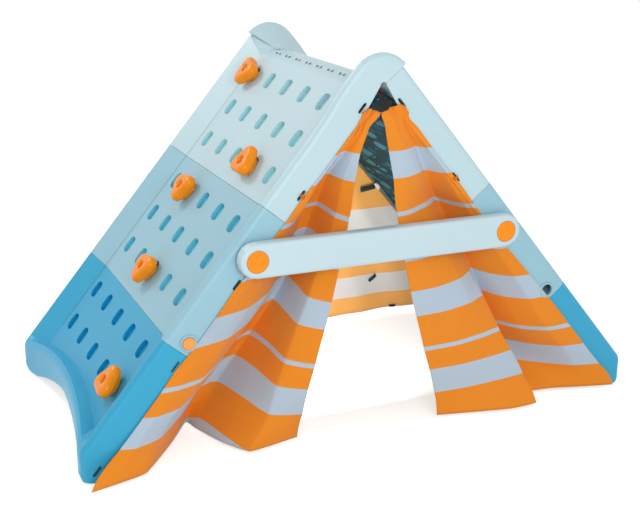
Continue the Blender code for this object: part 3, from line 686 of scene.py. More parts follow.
def settle(item: bpy.types.Object) -> bpy.types.Object:
    """Apply every modifier on a piece.

    Args:
        item: the piece.

    Returns:
        The same piece, with a plain mesh.
    """
    depsgraph = bpy.context.evaluated_depsgraph_get()
    mesh = bpy.data.meshes.new_from_object(item.evaluated_get(depsgraph))
    item.modifiers.clear()
    item.data = mesh
    return item


def solidify(item: bpy.types.Object, thickness: float, back: int = 0) -> bpy.types.Object:
    """Give a sheet its thickness.

    Args:
        item: the sheet.
        thickness: its thickness in metres, half on each side.
        back: how many slots further on the back's finish is.

    Returns:
        The same piece, thickened.
    """
    modifier = item.modifiers.new("thickness", "SOLIDIFY")
    modifier.thickness = thickness
    modifier.offset = 0.0
    modifier.use_even_offset = False
    modifier.material_offset = back
    return settle(item)


def spline(points: Sequence[Sequence[float]], share: float) -> list[float]:
    """A smooth curve through points.

    Args:
        points: the points it passes.
        share: how far along, from 0 to 1, in steps between points.

    Returns:
        The place at that share.
    """
    last = len(points) - 1
    at = min(max(share, 0.0) * last, last - 1e-6)
    i = int(at)
    t = at - i
    a, b, c, d = (points[min(max(k, 0), last)] for k in (i - 1, i, i + 1, i + 2))
    return [0.5 * (2 * b[k] + (c[k] - a[k]) * t + (2 * a[k] - 5 * b[k] + 4 * c[k] - d[k]) * t * t
                   + (3 * b[k] - a[k] - 3 * c[k] + d[k]) * t ** 3) for k in range(len(b))]


def skin(bm: bmesh.types.BMesh, rings: Sequence[Sequence[Vector]]) -> None:
    """Skin a stack of rings with equal counts of points, and cap both ends.

    Args:
        bm: the mesh that the closed form is added to.
        rings: the rings, in order.
    """
    loops = [[bm.verts.new(place) for place in ring] for ring in rings]
    faces = [bm.faces.new(loops[0]), bm.faces.new(loops[-1])]
    for near, far in zip(loops, loops[1:]):
        for k in range(len(near)):
            j = (k + 1) % len(near)
            faces.append(bm.faces.new((near[k], near[j], far[j], far[k])))
    bmesh.ops.recalc_face_normals(bm, faces=faces)


def grid_sheet(name: str, rows: Sequence[Sequence[Vector]], cut: Sequence[Sequence[tuple[float, float]]],
               which: Finish) -> bpy.types.Object:
    """A sheet through a grid of points, with a map that holds its flat cut.

    Args:
        name: the piece's name.
        rows: rows of points from the top down.
        cut: the flat place of each point, in metres.
        which: its finish.

    Returns:
        The new sheet, one face thick.
    """
    bm = bmesh.new()
    layer = bm.loops.layers.uv.new("cut")
    grid = [[bm.verts.new(p) for p in row] for row in rows]
    for r in range(len(grid) - 1):
        for c in range(len(grid[r]) - 1):
            corners = ((r, c), (r + 1, c), (r + 1, c + 1), (r, c + 1))
            face = bm.faces.new([grid[i][j] for i, j in corners])
            for loop, (i, j) in zip(face.loops, corners):
                loop[layer].uv = cut[i][j]
    return new_piece(name, bm, which)


def ribbon(name: str, path: Sequence[Vector], side: Vector, width: float, which: Finish,
           thickness: float = 0.0009) -> bpy.types.Object:
    """A flat strip along a path.

    Args:
        name: the piece's name.
        path: the places its middle passes.
        side: the unit vector across the strip.
        width: its width in metres.
        which: its finish.
        thickness: its thickness in metres.

    Returns:
        The new strip.
    """
    bm = bmesh.new()
    rails = [[bm.verts.new(p + side * width * k) for k in (-0.5, 0.0, 0.5)] for p in path]
    for a, b in zip(rails, rails[1:]):
        for k in (0, 1):
            bm.faces.new((a[k], b[k], b[k + 1], a[k + 1]))
    return solidify(new_piece(name, bm, which), thickness)


@dataclass
class WallPlanes:
    """Where the two walls lie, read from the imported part."""

    hinge_height: float = 0.0
    sine: float = 0.0
    cosine: float = 0.0
    half_depth: float = 0.0

    @classmethod
    def from_frame(cls) -> "WallPlanes":
        """Measure the frame.

        Returns:
            The planes of the walls.
        """
        low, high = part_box("right_liner")
        angle = math.atan(high.x / (HINGE_HEIGHT - low.z))
        return cls(HINGE_HEIGHT, math.sin(angle), math.cos(angle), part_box("left_wall_top")[1].y)

    def inner_reach(self, height: float) -> float:
        """How far the inner plane is from the middle at a height over the floor."""
        return (self.hinge_height - height) * self.sine / self.cosine

    def place(self, side: int, down: float, out: float, depth: float) -> Vector:
        """A point given down the slope and out of the inner plane.

        Args:
            side: -1 on the left wall, 1 on the right wall.
            down: distance down the slope from the hinge axis.
            out: distance out of the inner plane.
            depth: the point's Y.

        Returns:
            The point in the part's frame.
        """
        reach = down * self.sine + out * self.cosine
        return Vector((side * reach, depth, self.hinge_height - down * self.cosine + out * self.sine))


@dataclass
class Shell:
    """The moulded walls, the bars and the hardware: CAD pieces in their finishes."""

    sides: tuple[str, str] = ("left", "right")
    ends: tuple[str, str] = ("front", "back")

    def build(self) -> None:
        """Dress every rigid node but the holds, which are made anew."""
        for side in self.sides:
            for section in WALL_SECTIONS:
                dress(f"{side}_wall_{section.part}", section.which)
        for i in range(1, HOLD_COUNT + 1):
            dress(f"hold_bolt_{i}", Finish.STEEL)
        dress("hinge_rod", Finish.STEEL)
        for end in self.ends:
            dress(f"{end}_stay_bar", Finish.BAR)
            dress(f"{end}_bar_catch", Finish.BAR)
            dress(f"{end}_catch_cradle", Finish.LIGHT)
            dress(f"{end}_pivot_bolt", Finish.STEEL)
            dress(f"{end}_latch_spring", Finish.STEEL)
            dress(f"{end}_pivot_cap", Finish.ORANGE)
            dress(f"{end}_latch_button", Finish.ORANGE)
            dress(f"{end}_side_peg", Finish.PEG)
        LOG.info("shell: %d wall sections, the bars and the hardware dressed", 2 * len(WALL_SECTIONS))


@dataclass(frozen=True)
class Ring:
    """One level of a hold: its radius, its height over the face and how deep its lobes are."""

    radius: float
    height: float
    lobe: float


# From the stem's foot, out under the overhang, over the rim and down into the round hole
HOLD_RINGS = (
    Ring(0.0215, 0.0004, 0.10), Ring(0.0215, 0.0085, 0.10), Ring(0.0250, 0.0098, 0.11),
    Ring(0.0315, 0.0112, 0.11), Ring(0.0340, 0.0140, 0.13), Ring(0.0348, 0.0190, 0.14),
    Ring(0.0348, 0.0265, 0.14), Ring(0.0338, 0.0325, 0.14), Ring(0.0312, 0.0362, 0.13),
    Ring(0.0270, 0.0376, 0.12), Ring(0.0180, 0.0376, 0.06), Ring(0.0132, 0.0372, 0.0),
    Ring(0.0112, 0.0352, 0.0), Ring(0.0100, 0.0300, 0.0), Ring(0.0092, 0.0242, 0.0))


@dataclass
class ClimbingHold:
    """One smooth three-lobed hold: a flat face with a round hole, overhanging a narrow stem.

    It is turned about its bolt, and slipped down the slope and aside from it.
    """

    number: int
    turn: float
    slip: float
    sides: int = 60
    face: float = 0.0410
    squat: float = 0.90
    aside: float = -0.005
    lobe_depth: float = 1.3
    longest_lobe: float = 3 / 7

    def build(self, planes: WallPlanes) -> bpy.types.Object:
        """Make the hold in place of its CAD piece.

        Args:
            planes: the walls.

        Returns:
            The hold.
        """
        low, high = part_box(f"hold_{self.number}")
        middle = (low + high) / 2
        down = -middle.x * planes.sine + (planes.hinge_height - middle.z) * planes.cosine
        bm = bmesh.new()
        steps = range(self.sides)
        skin(bm, [[self.spot(planes, ring, step, down, middle.y) for step in steps] for ring in HOLD_RINGS])
        hold = new_piece(f"hold_{self.number}_moulded", bm, Finish.ORANGE)
        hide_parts(f"hold_{self.number}")
        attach(hold, "left_wall")
        return hold

    def spot(self, planes: WallPlanes, ring: Ring, step: int, down: float, depth: float) -> Vector:
        """Find one point of a ring.

        Args:
            planes: the walls.
            ring: the ring.
            step: the point's number round it.
            down: the bolt's place down the slope.
            depth: the bolt's Y.

        Returns:
            The point.
        """
        angle = 2 * math.pi * step / self.sides
        turned = angle - self.turn
        lobes = self.lobe_depth * math.cos(3 * turned) + self.longest_lobe * math.cos(turned)
        reach = ring.radius * (1 + ring.lobe * lobes)
        out = self.face + ring.height * self.squat
        return planes.place(-1, down + self.slip + reach * math.cos(angle), out,
                            depth + self.aside + reach * math.sin(angle))


@dataclass
class GripPockets:
    """The closed floors behind the grip holes, which read as shallow pockets."""

    side: int
    body: str
    pitch: float = 0.110
    columns: int = 5
    length: float = 0.044
    width: float = 0.038
    corner: float = 0.013
    grow: float = 0.0025
    upper: float = 0.0299
    lower: float = 0.0287
    bolt_across: float = 0.03
    bolt_down: float = 0.04

    def outline(self) -> list[tuple[float, float]]:
        """Draw a floor.

        Returns:
            Its outline, down the slope and across.
        """
        points = []
        reach = self.corner + self.grow
        for turn, (down, across) in enumerate(((1, 1), (-1, 1), (-1, -1), (1, -1))):
            for step in range(3):
                angle = math.radians(90 * turn + 45 * step)
                points.append((down * (self.length / 2 - self.corner) + reach * math.cos(angle),
                               across * (self.width / 2 - self.corner) + reach * math.sin(angle)))
        return points

    def floor(self, planes: WallPlanes, down: float, depth: float) -> list[list[Vector]]:
        """The upper and the lower outline of the floor behind one hole."""
        return [[planes.place(self.side, down + a, out, depth + b) for a, b in self.outline()]
                for out in (self.upper, self.lower)]

    def is_taken(self, down: float, depth: float) -> bool:
        """Tell whether a hold is bolted through a hole.

        Args:
            down: the hole's place down the slope.
            depth: its Y.

        Returns:
            True where it is.
        """
        if self.side > 0:
            return False
        for i in range(1, HOLD_COUNT + 1):
            low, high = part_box(f"hold_bolt_{i}")
            middle = (low + high) / 2
            reach = math.hypot(middle.x, HINGE_HEIGHT - middle.z)
            if abs(middle.y - depth) < self.bolt_across and abs(reach - down) < self.bolt_down:
                return True
        return False

    def build(self, planes: WallPlanes) -> None:
        """Make one piece of floors for each section.

        Args:
            planes: the walls.
        """
        for section in WALL_SECTIONS:
            bm = bmesh.new()
            for down in section.rows:
                for column in range(self.columns):
                    depth = (column - (self.columns - 1) / 2) * self.pitch
                    if not self.is_taken(down, depth):
                        skin(bm, self.floor(planes, down, depth))
            piece = new_piece(f"{self.body}_{section.part}_hole_floors", bm, section.which)
            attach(piece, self.body)
        LOG.info("%s: grip holes closed", self.body)


def fold_in(cloth: bpy.types.Object, side: int, planes: WallPlanes) -> None:
    """Give a cloth its own copy of its mesh.

    Args:
        cloth: the cloth, already riding that wall's body.
        side: -1 for the left wall, 1 for the right wall.
        planes: the walls.
    """
    on_wall = tuple(planes.place(side, 0.4, 0.0, 0.0))
    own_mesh(cloth)


def between(points: Sequence[Sequence[float]], at: float) -> float:
    """Read a value from pairs by straight lines, held at both ends.

    Args:
        points: pairs of a place and its value, in order.
        at: the place wanted.

    Returns:
        The value there.
    """
    if at <= points[0][0]:
        return points[0][1]
    for (a, first), (b, second) in zip(points, points[1:]):
        if at <= b:
            return first + (second - first) * (at - a) / (b - a)
    return points[-1][1]


def eased(share: float) -> float:
    """A share from 0 to 1 with soft ends."""
    share = min(max(share, 0.0), 1.0)
    return share * share * (3 - 2 * share)


class Fade(Enum):
    """Where down a cloth a run of waves is strong."""

    GATHER = "under the gather"
    MIDDLE = "half way down"
    HEM = "at the hem"


@dataclass(frozen=True)
class Ripple:
    """One run of small waves: its depth in metres, and its turns in radians over the width and the drop."""

    depth: float
    across: float
    down: float = 0.0
    phase: float = 0.0
    side_phase: float = 0.0
    fade: Fade = Fade.MIDDLE
    fade_rate: float = 0.0

    def at(self, share: float, t: float, side: int = 0) -> float:
        """Find how far the waves stand off the cloth.

        Args:
            share: place across the cloth.
            t: share of the drop.
            side: -1 or 1 where the waves start differently on the left and on the right.

        Returns:
            The distance in metres.
        """
        if self.fade is Fade.GATHER:
            strength = math.exp(-self.fade_rate * t)
        elif self.fade is Fade.HEM:
            strength = t
        else:
            strength = math.sin(math.pi * t)
        turn = self.across * share + self.down * t + self.phase + self.side_phase * side
        return self.depth * strength * math.sin(turn)


@dataclass(frozen=True)
class TieDrag:
    """Drag folds that fan out from a tie at the cloth's outer edge."""

    depth: float = 0.0026
    reach_down: float = 0.05
    reach_across: float = 0.14
    down: float = 48.0
    across: float = 30.0

    def at(self, share: float, t: float, tie: float) -> float:
        """Find how far the drag folds stand off the cloth.

        Args:
            share: place across the cloth.
            t: share of the drop.
            tie: the tie's share of the drop.

        Returns:
            The distance in metres.
        """
        away = math.hypot((t - tie) / self.reach_down, share / self.reach_across)
        return self.depth * math.exp(-away * away) * math.cos(self.down * (t - tie) + self.across * share)


# Puckers under the gather, then soft and fine creases
FLAP_RIPPLES = (
    Ripple(0.0042, 19, phase=0.7, fade=Fade.GATHER, fade_rate=22),
    Ripple(0.0022, 37, fade=Fade.GATHER, fade_rate=13),
    Ripple(0.0022, 9, down=3.1, side_phase=1.0),
    Ripple(0.0008, 27, down=-9, side_phase=1.7))
CURTAIN_RIPPLES = (Ripple(0.0060, 13, phase=0.6, fade=Fade.HEM), Ripple(0.0032, 29, down=4, fade=Fade.HEM))


@dataclass(frozen=True)
class Section:
    """A level cut through a hanging flap: places in X and Y from the wall to the free edge."""

    height: float
    places: tuple[tuple[float, float], ...]


@dataclass
class Flap:
    """One front flap: gathered at the apex, folded on the way down, and lapped over the wall's side.

    The crown is its top edge in X and Z, the lap says how far out of the wall's inner plane its outer edge
    lies at places down the slope, the ties are shares of the drop at which straps pull that edge, and the
    rise is how far the stripes ride up on each fold line.
    """

    side: int
    body: str
    node: str
    crown: tuple[tuple[float, float], ...]
    lap: tuple[tuple[float, float], ...]
    ties: tuple[float, ...]
    sections: tuple[Section, ...]
    rise: tuple[float, ...]
    columns: int = 128
    rows: int = 96
    thickness: float = 0.0011
    length: float = PRINT_LENGTH
    slack: float = 1.06
    top: float = 0.752
    front: float = -0.3525
    gather: float = 0.035
    gathered_width: float = 0.12
    crisp: float = 0.62
    free_height: float = 0.11
    free_drop: float = 0.09
    over_wall: float = 0.003
    side_gap: float = 0.0016
    rise_drop: float = 0.55
    edge_power: int = 20
    kept_when_folded: float = 0.02
    drag: TieDrag = TieDrag()

    def rib(self, number: int, height: float) -> list[float]:
        """Follow one fold line.

        Args:
            number: the line's number, from 0 at the wall.
            height: height over the floor.

        Returns:
            Its X and Y at that height.
        """
        levels = [section.height for section in self.sections]
        last = len(levels) - 1
        if height >= levels[0]:
            return list(self.sections[0].places[number])
        i = next((k for k in range(last) if height >= levels[k + 1]), last - 1)
        share = (height - levels[i]) / (levels[i + 1] - levels[i])
        points = [section.places[number] for section in self.sections]
        return spline(points, (i + share) / last)

    def edge(self, height: float, planes: WallPlanes) -> Vector:
        """The cloth's outer edge on the wall's side face at a height."""
        down = (planes.hinge_height - height) / planes.cosine
        return planes.place(self.side, down, between(self.lap, down), self.front)

    def level(self, share: float, height: float, planes: WallPlanes) -> list[float]:
        """A place on a level cut.

        Args:
            share: place across the cloth, from 0 at the wall to 1 at the free edge.
            height: height over the floor.
            planes: the walls.

        Returns:
            X and Y.
        """
        count = len(self.rise)
        ribs = [self.rib(k, height) for k in range(count)]
        free = eased((self.free_height - height) / self.free_drop)
        ribs[0][0] += (self.edge(height, planes).x - ribs[0][0]) * (1 - free)
        soft = spline(ribs, share)
        last = count - 1
        i = min(int(share * last), last - 1)
        straight = [a + (b - a) * (share * last - i) for a, b in zip(ribs[i], ribs[i + 1])]
        return [a + (b - a) * self.crisp for a, b in zip(soft, straight)]

    def point(self, share: float, t: float, planes: WallPlanes) -> Vector:
        """A point of the hanging cloth.

        Args:
            share: place across the cloth, from 0 at the wall to 1 at the free edge.
            t: share of the drop.
            planes: the walls.

        Returns:
            The point.
        """
        crown_x, crown_z = spline(self.crown, share)
        hem = self.sections[-1].height
        height = crown_z + (hem - crown_z) * t
        x, depth = self.level(share, height, planes)
        drawn = eased((crown_z - height) / self.gather)
        x = crown_x + (x - crown_x) * drawn
        depth = self.front + (depth - self.front) * drawn + self.relief(share, t)
        if abs(x) > planes.inner_reach(height) - self.over_wall:
            depth = min(depth, -planes.half_depth - self.side_gap)
        return Vector((x, depth, height))

    def relief(self, share: float, t: float) -> float:
        """Find the small folds at a place.

        Args:
            share: place across the cloth.
            t: share of the drop.

        Returns:
            How far they stand off the cloth, in metres.
        """
        inside = (1 - share ** self.edge_power) * (1 - (1 - share) ** self.edge_power)
        waves = sum(ripple.at(share, t, self.side) for ripple in FLAP_RIPPLES)
        drags = sum(self.drag.at(share, t, tie) for tie in self.ties)
        return (waves + drags) * inside

    def raised(self, share: float, t: float) -> float:
        """How far the printed stripes ride up on a fold line."""
        steps = [(value,) for value in self.rise]
        return spline(steps, share)[0] * eased(t / self.rise_drop)

    def build(self, planes: WallPlanes) -> bpy.types.Object:
        """Make the flap with its thickness.

        Args:
            planes: the walls that it hangs between.

        Returns:
            The cloth.
        """
        hem = [self.point(c / self.columns, 1.0, planes) for c in range(self.columns + 1)]
        runs = [0.0]
        for a, b in zip(hem, hem[1:]):
            runs.append(runs[-1] + (b - a).length)
        width = runs[-1]
        rows, cut = [], []
        for r in range(self.rows + 1):
            t = r / self.rows
            row = [self.point(c / self.columns, t, planes) for c in range(self.columns + 1)]
            down = [self.top - p.z + self.raised(c / self.columns, t) for c, p in enumerate(row)]
            rows.append(row)
            spread = self.gathered_width + (1 - self.gathered_width) * t
            cut.append([((width - run) * spread, value) for run, value in zip(runs, down)])
        if self.side > 0:
            rows, cut = [row[::-1] for row in rows], [row[::-1] for row in cut]
        cloth = grid_sheet(f"{self.node}_cloth", rows, cut, Finish.FLAP)
        # The flap's back takes the curtain cloth: its paler reverse side, in colours lightened as painted
        # backlight
        cloth.data.materials.append(finish(Finish.REVERSE_AND_PAINTED_BACKLIGHT_CLOTH))
        solidify(cloth, self.thickness, back=1)
        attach(cloth, self.body)
        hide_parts(self.node)
        fold_in(cloth, self.side, planes)
        return cloth


@dataclass
class BackCurtain:
    """The curtain across the back, with shallow hanging folds."""

    top_height: float = 0.760
    hem_height: float = 0.020
    depth: float = 0.337
    edge_gap: float = 0.004
    columns: int = 110
    rows: int = 44
    thickness: float = 0.0012
    length: float = 0.735
    edge_power: int = 6
    kept_when_folded: float = 0.004

    def height(self, t: float) -> float:
        """Height over the floor at a share of the drop."""
        return self.top_height + (self.hem_height - self.top_height) * t

    def surface(self, u: float, t: float, planes: WallPlanes) -> Vector:
        """A point of the hanging cloth.

        Args:
            u: place across, from -1 to 1.
            t: share of the drop.
            planes: the walls.

        Returns:
            The point.
        """
        height = self.height(t)
        reach = planes.inner_reach(height) - self.edge_gap
        wave = sum(ripple.at(u, t) for ripple in CURTAIN_RIPPLES) * (1 - abs(u) ** self.edge_power)
        return Vector((reach * u, self.depth + wave, height))

    def build(self, planes: WallPlanes) -> bpy.types.Object:
        """Make the curtain with its thickness.

        Args:
            planes: the walls that it hangs between.

        Returns:
            The cloth.
        """
        across = [2 * c / self.columns - 1 for c in range(self.columns + 1)]
        rows, cut = [], []
        for r in range(self.rows + 1):
            t = r / self.rows
            reach = planes.inner_reach(self.height(t))
            rows.append([self.surface(u, t, planes) for u in across])
            cut.append([(reach * u, t * self.length) for u in across])
        # The curtain cloth's lighter colours are painted backlight shining through it
        cloth = grid_sheet("back_curtain_cloth", rows, cut, Finish.REVERSE_AND_PAINTED_BACKLIGHT_CLOTH)
        solidify(cloth, self.thickness)
        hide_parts("back_curtain")
        2 * planes.inner_reach(self.hem_height)
        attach(cloth, "left_wall")
        fold_in(cloth, -1, planes)
        return cloth


@dataclass
class Liner:
    """The printed cloth on one wall's inner side."""

    side: int
    body: str
    node: str
    start: float = 0.012
    short: float = 0.004
    half_width: float = 0.3365
    front: float = 0.3462
    stand: float = 0.0022
    slack: float = 0.0035
    wave: float = 0.4
    turns_deep: float = 9.0
    turns_down: float = 14.0
    edge_power: int = 6
    edge_lift: float = 0.0034
    edge_from: float = 0.325
    edge_run: float = 0.008
    thickness: float = 0.0010
    columns: int = 40
    rows: int = 50

    def out(self, share: float, down: float, depth: float) -> float:
        """Find how far a point of the cloth is out of the wall's inner plane.

        Args:
            share: share of the cloth's length.
            down: place down the slope.
            depth: the point's Y.

        Returns:
            The distance, less where the cloth sags off the wall and where its front edge curls away.
        """
        sag = math.sin(math.pi * share) * max(0.0, 1 - (depth / self.half_width) ** self.edge_power)
        wave = 1 - self.wave + self.wave * math.sin(self.turns_deep * depth + self.turns_down * down)
        curl = eased((-depth - self.edge_from) / self.edge_run)
        return self.stand - self.slack * sag * wave - self.edge_lift * curl

    def build(self, planes: WallPlanes) -> bpy.types.Object:
        """Make the liner with its thickness.

        Args:
            planes: the walls.

        Returns:
            The cloth.
        """
        low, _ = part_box(self.node)
        end = (planes.hinge_height - low.z) / planes.cosine - self.short
        width = self.front + self.half_width
        rows, cut = [], []
        for r in range(self.rows + 1):
            share = r / self.rows
            down = self.start + (end - self.start) * share
            depths = [-self.front + width * c / self.columns for c in range(self.columns + 1)]
            rows.append([planes.place(self.side, down, self.out(share, down, y), y) for y in depths])
            cut.append([(y, down) for y in depths])
        cloth = grid_sheet(f"{self.node}_cloth", rows, cut, Finish.LINER)
        area = sum(face.area for face in cloth.data.polygons)
        solidify(cloth, self.thickness)
        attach(cloth, self.body)
        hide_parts(self.node)
        end - self.start
        min(area, width * (end - self.start))
        LOG.info("%s: %.0f mm long", cloth.name, 1000 * (end - self.start))
        return cloth


@dataclass(frozen=True)
class Toggle:
    """A dark bar that buttons the cloth's strap through the wall.

    Its place is down the slope and out of the wall's inner plane, and a loop shows beside it in some places.
    """

    side: int
    down: float
    out: float
    loop: bool = False


@dataclass
class Toggles:
    """The toggles and strap ends along the front edges of the walls."""

    places: tuple[Toggle, ...] = (
        Toggle(-1, 0.059, 0.0160), Toggle(-1, 0.286, 0.0105, True), Toggle(-1, 0.520, 0.0085),
        Toggle(-1, 0.737, 0.0110), Toggle(-1, 1.013, 0.0140),
        Toggle(1, 0.051, 0.0150), Toggle(1, 0.277, 0.0105, True), Toggle(1, 0.752, 0.0110))
    length: float = 0.027
    radius: float = 0.0014
    sides: int = 10
    stand: float = 0.0008
    # Along the bar as a share of its length, and the radius there as a share of the full one
    profile: tuple[tuple[float, float], ...] = (
        (-0.5, 0.45), (-0.47, 0.9), (-0.42, 1.0), (0.42, 1.0), (0.47, 0.9), (0.5, 0.45))
    strap_width: float = 0.0075
    # How far the strap stands off the side face on its way out to the bar
    strap_lifts: tuple[tuple[float, float], ...] = (
        (0.002, 0.0045), (0.004, 0.0044), (0.006, 0.0046), (0.008, 0.0052))
    strap_end: tuple[float, float] = (0.003, 0.0050)

    def build(self, planes: WallPlanes) -> None:
        """Make every toggle, with its strap where one shows.

        Args:
            planes: the walls.
        """
        for number, toggle in enumerate(self.places, 1):
            body = "left_wall" if toggle.side < 0 else "right_wall"
            bar = self.bar(f"toggle_{number}", toggle, planes)
            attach(bar, body)
            if toggle.loop:
                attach(self.strap(f"toggle_strap_{number}", toggle, planes), body)
        LOG.info("%d toggles", len(self.places))

    def bar(self, name: str, toggle: Toggle, planes: WallPlanes) -> bpy.types.Object:
        """Make one rounded bar along the slope.

        Args:
            name: the piece's name.
            toggle: its place.
            planes: the walls.

        Returns:
            The bar.
        """
        depth = -planes.half_depth - self.radius - self.stand
        turns = [2 * math.pi * k / self.sides for k in range(self.sides)]
        rings = []
        for share, grow in self.profile:
            down = toggle.down + self.length * share
            reach = self.radius * grow
            rings.append([planes.place(toggle.side, down, toggle.out + reach * math.cos(turn),
                                       depth + reach * math.sin(turn)) for turn in turns])
        bm = bmesh.new()
        skin(bm, rings)
        return new_piece(name, bm, Finish.WEBBING_AND_GAP_SHADE)

    def strap(self, name: str, toggle: Toggle, planes: WallPlanes) -> bpy.types.Object:
        """Make the short strap from the cloth's edge to the bar.

        Args:
            name: the piece's name.
            toggle: the bar's place.
            planes: the walls.

        Returns:
            The strap.
        """
        past, last_lift = self.strap_end
        stops = (*self.strap_lifts, (toggle.out + past, last_lift))
        path = [planes.place(toggle.side, toggle.down, out, -planes.half_depth - lift) for out, lift in stops]
        along = planes.place(toggle.side, 1.0, 0.0, 0.0) - planes.place(toggle.side, 0.0, 0.0, 0.0)
        return ribbon(name, path, along, self.strap_width, Finish.STRAP)


@dataclass(frozen=True)
class Strip:
    """A flat strip sewn to the curtain: its ends in X and Z, its width and its finish."""

    name: str
    start: tuple[float, float]
    end: tuple[float, float]
    width: float
    which: Finish


@dataclass
class Fittings:
    """Straps and the bare tag on the inner side of the back curtain."""

    strips: tuple[Strip, ...] = (
        Strip("curtain_strap", (0.272, 0.394), (0.318, 0.401), 0.013, Finish.WEBBING_AND_GAP_SHADE),
        Strip("curtain_tag", (0.320, 0.411), (0.332, 0.392), 0.012, Finish.TAG),
        Strip("curtain_tab", (0.303, 0.117), (0.325, 0.133), 0.010, Finish.WEBBING_AND_GAP_SHADE),
        Strip("curtain_hem_tab", (0.372, 0.031), (0.392, 0.029), 0.008, Finish.WEBBING_AND_GAP_SHADE))
    depth: float = 0.3255
    bow: float = 0.0015
    steps: int = 4

    def build(self, planes: WallPlanes) -> None:
        """Make every strip.

        Args:
            planes: the walls.
        """
        for strip in self.strips:
            lean = (strip.end[0] - strip.start[0], strip.end[1] - strip.start[1])
            across = Vector((-lean[1], 0.0, lean[0])).normalized()
            path = []
            for k in range(self.steps + 1):
                share = k / self.steps
                depth = self.depth - self.bow * math.sin(math.pi * share)
                x, z = (a + run * share for a, run in zip(strip.start, lean))
                path.append(Vector((x, depth, z)))
            piece = ribbon(strip.name, path, across, strip.width, strip.which)
            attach(piece, "left_wall")
            fold_in(piece, -1, planes)
        LOG.info("%d strips on the curtain", len(self.strips))


@dataclass
class RidgeGapPaintedShade:
    """Thin dark plates beside the hinge fingers' tips that paint the shade in their gaps, seen as a dotted
    line along the ridge.
    """

    fingers: int = 7
    pitch: float = 0.065
    width: float = 0.022
    reach: float = 0.0275
    height: float = 0.0165
    size: float = 0.0036
    stretch: float = 1.5
    fall: float = 0.45
    thickness: float = 0.001

    def corner(self, planes: WallPlanes, along: float, depth: float, down: float) -> Vector:
        """One corner of a mark, on the slope beside the ridge."""
        height = planes.hinge_height + self.height - self.fall * along - down
        return Vector((-self.reach - along, depth, height))

    def build(self, planes: WallPlanes) -> None:
        """Make the painted shade marks along the climbing side of the ridge.

        Args:
            planes: the walls.
        """
        bm = bmesh.new()
        half = self.size / 2
        run = self.stretch * half
        for finger in range(self.fingers):
            middle = (finger - (self.fingers - 1) / 2) * self.pitch
            for edge in (middle - self.width / 2, middle + self.width / 2):
                corners = [bm.verts.new(self.corner(planes, a, edge + b * half, down))
                           for down in (0.0, self.thickness) for a in (-run, run) for b in (-1, 1)]
                bmesh.ops.convex_hull(bm, input=corners)
        bmesh.ops.recalc_face_normals(bm, faces=bm.faces)
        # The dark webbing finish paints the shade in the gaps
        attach(new_piece("left_wall_ridge_marks", bm, Finish.WEBBING_AND_GAP_SHADE), "left_wall")
        LOG.info("ridge marks placed")


@dataclass(frozen=True)
class Lamp:
    """One soft area lamp."""

    name: str
    place: Point
    aim: Point
    size: float
    power: float
    height: float = 0.0
    shown: bool = True


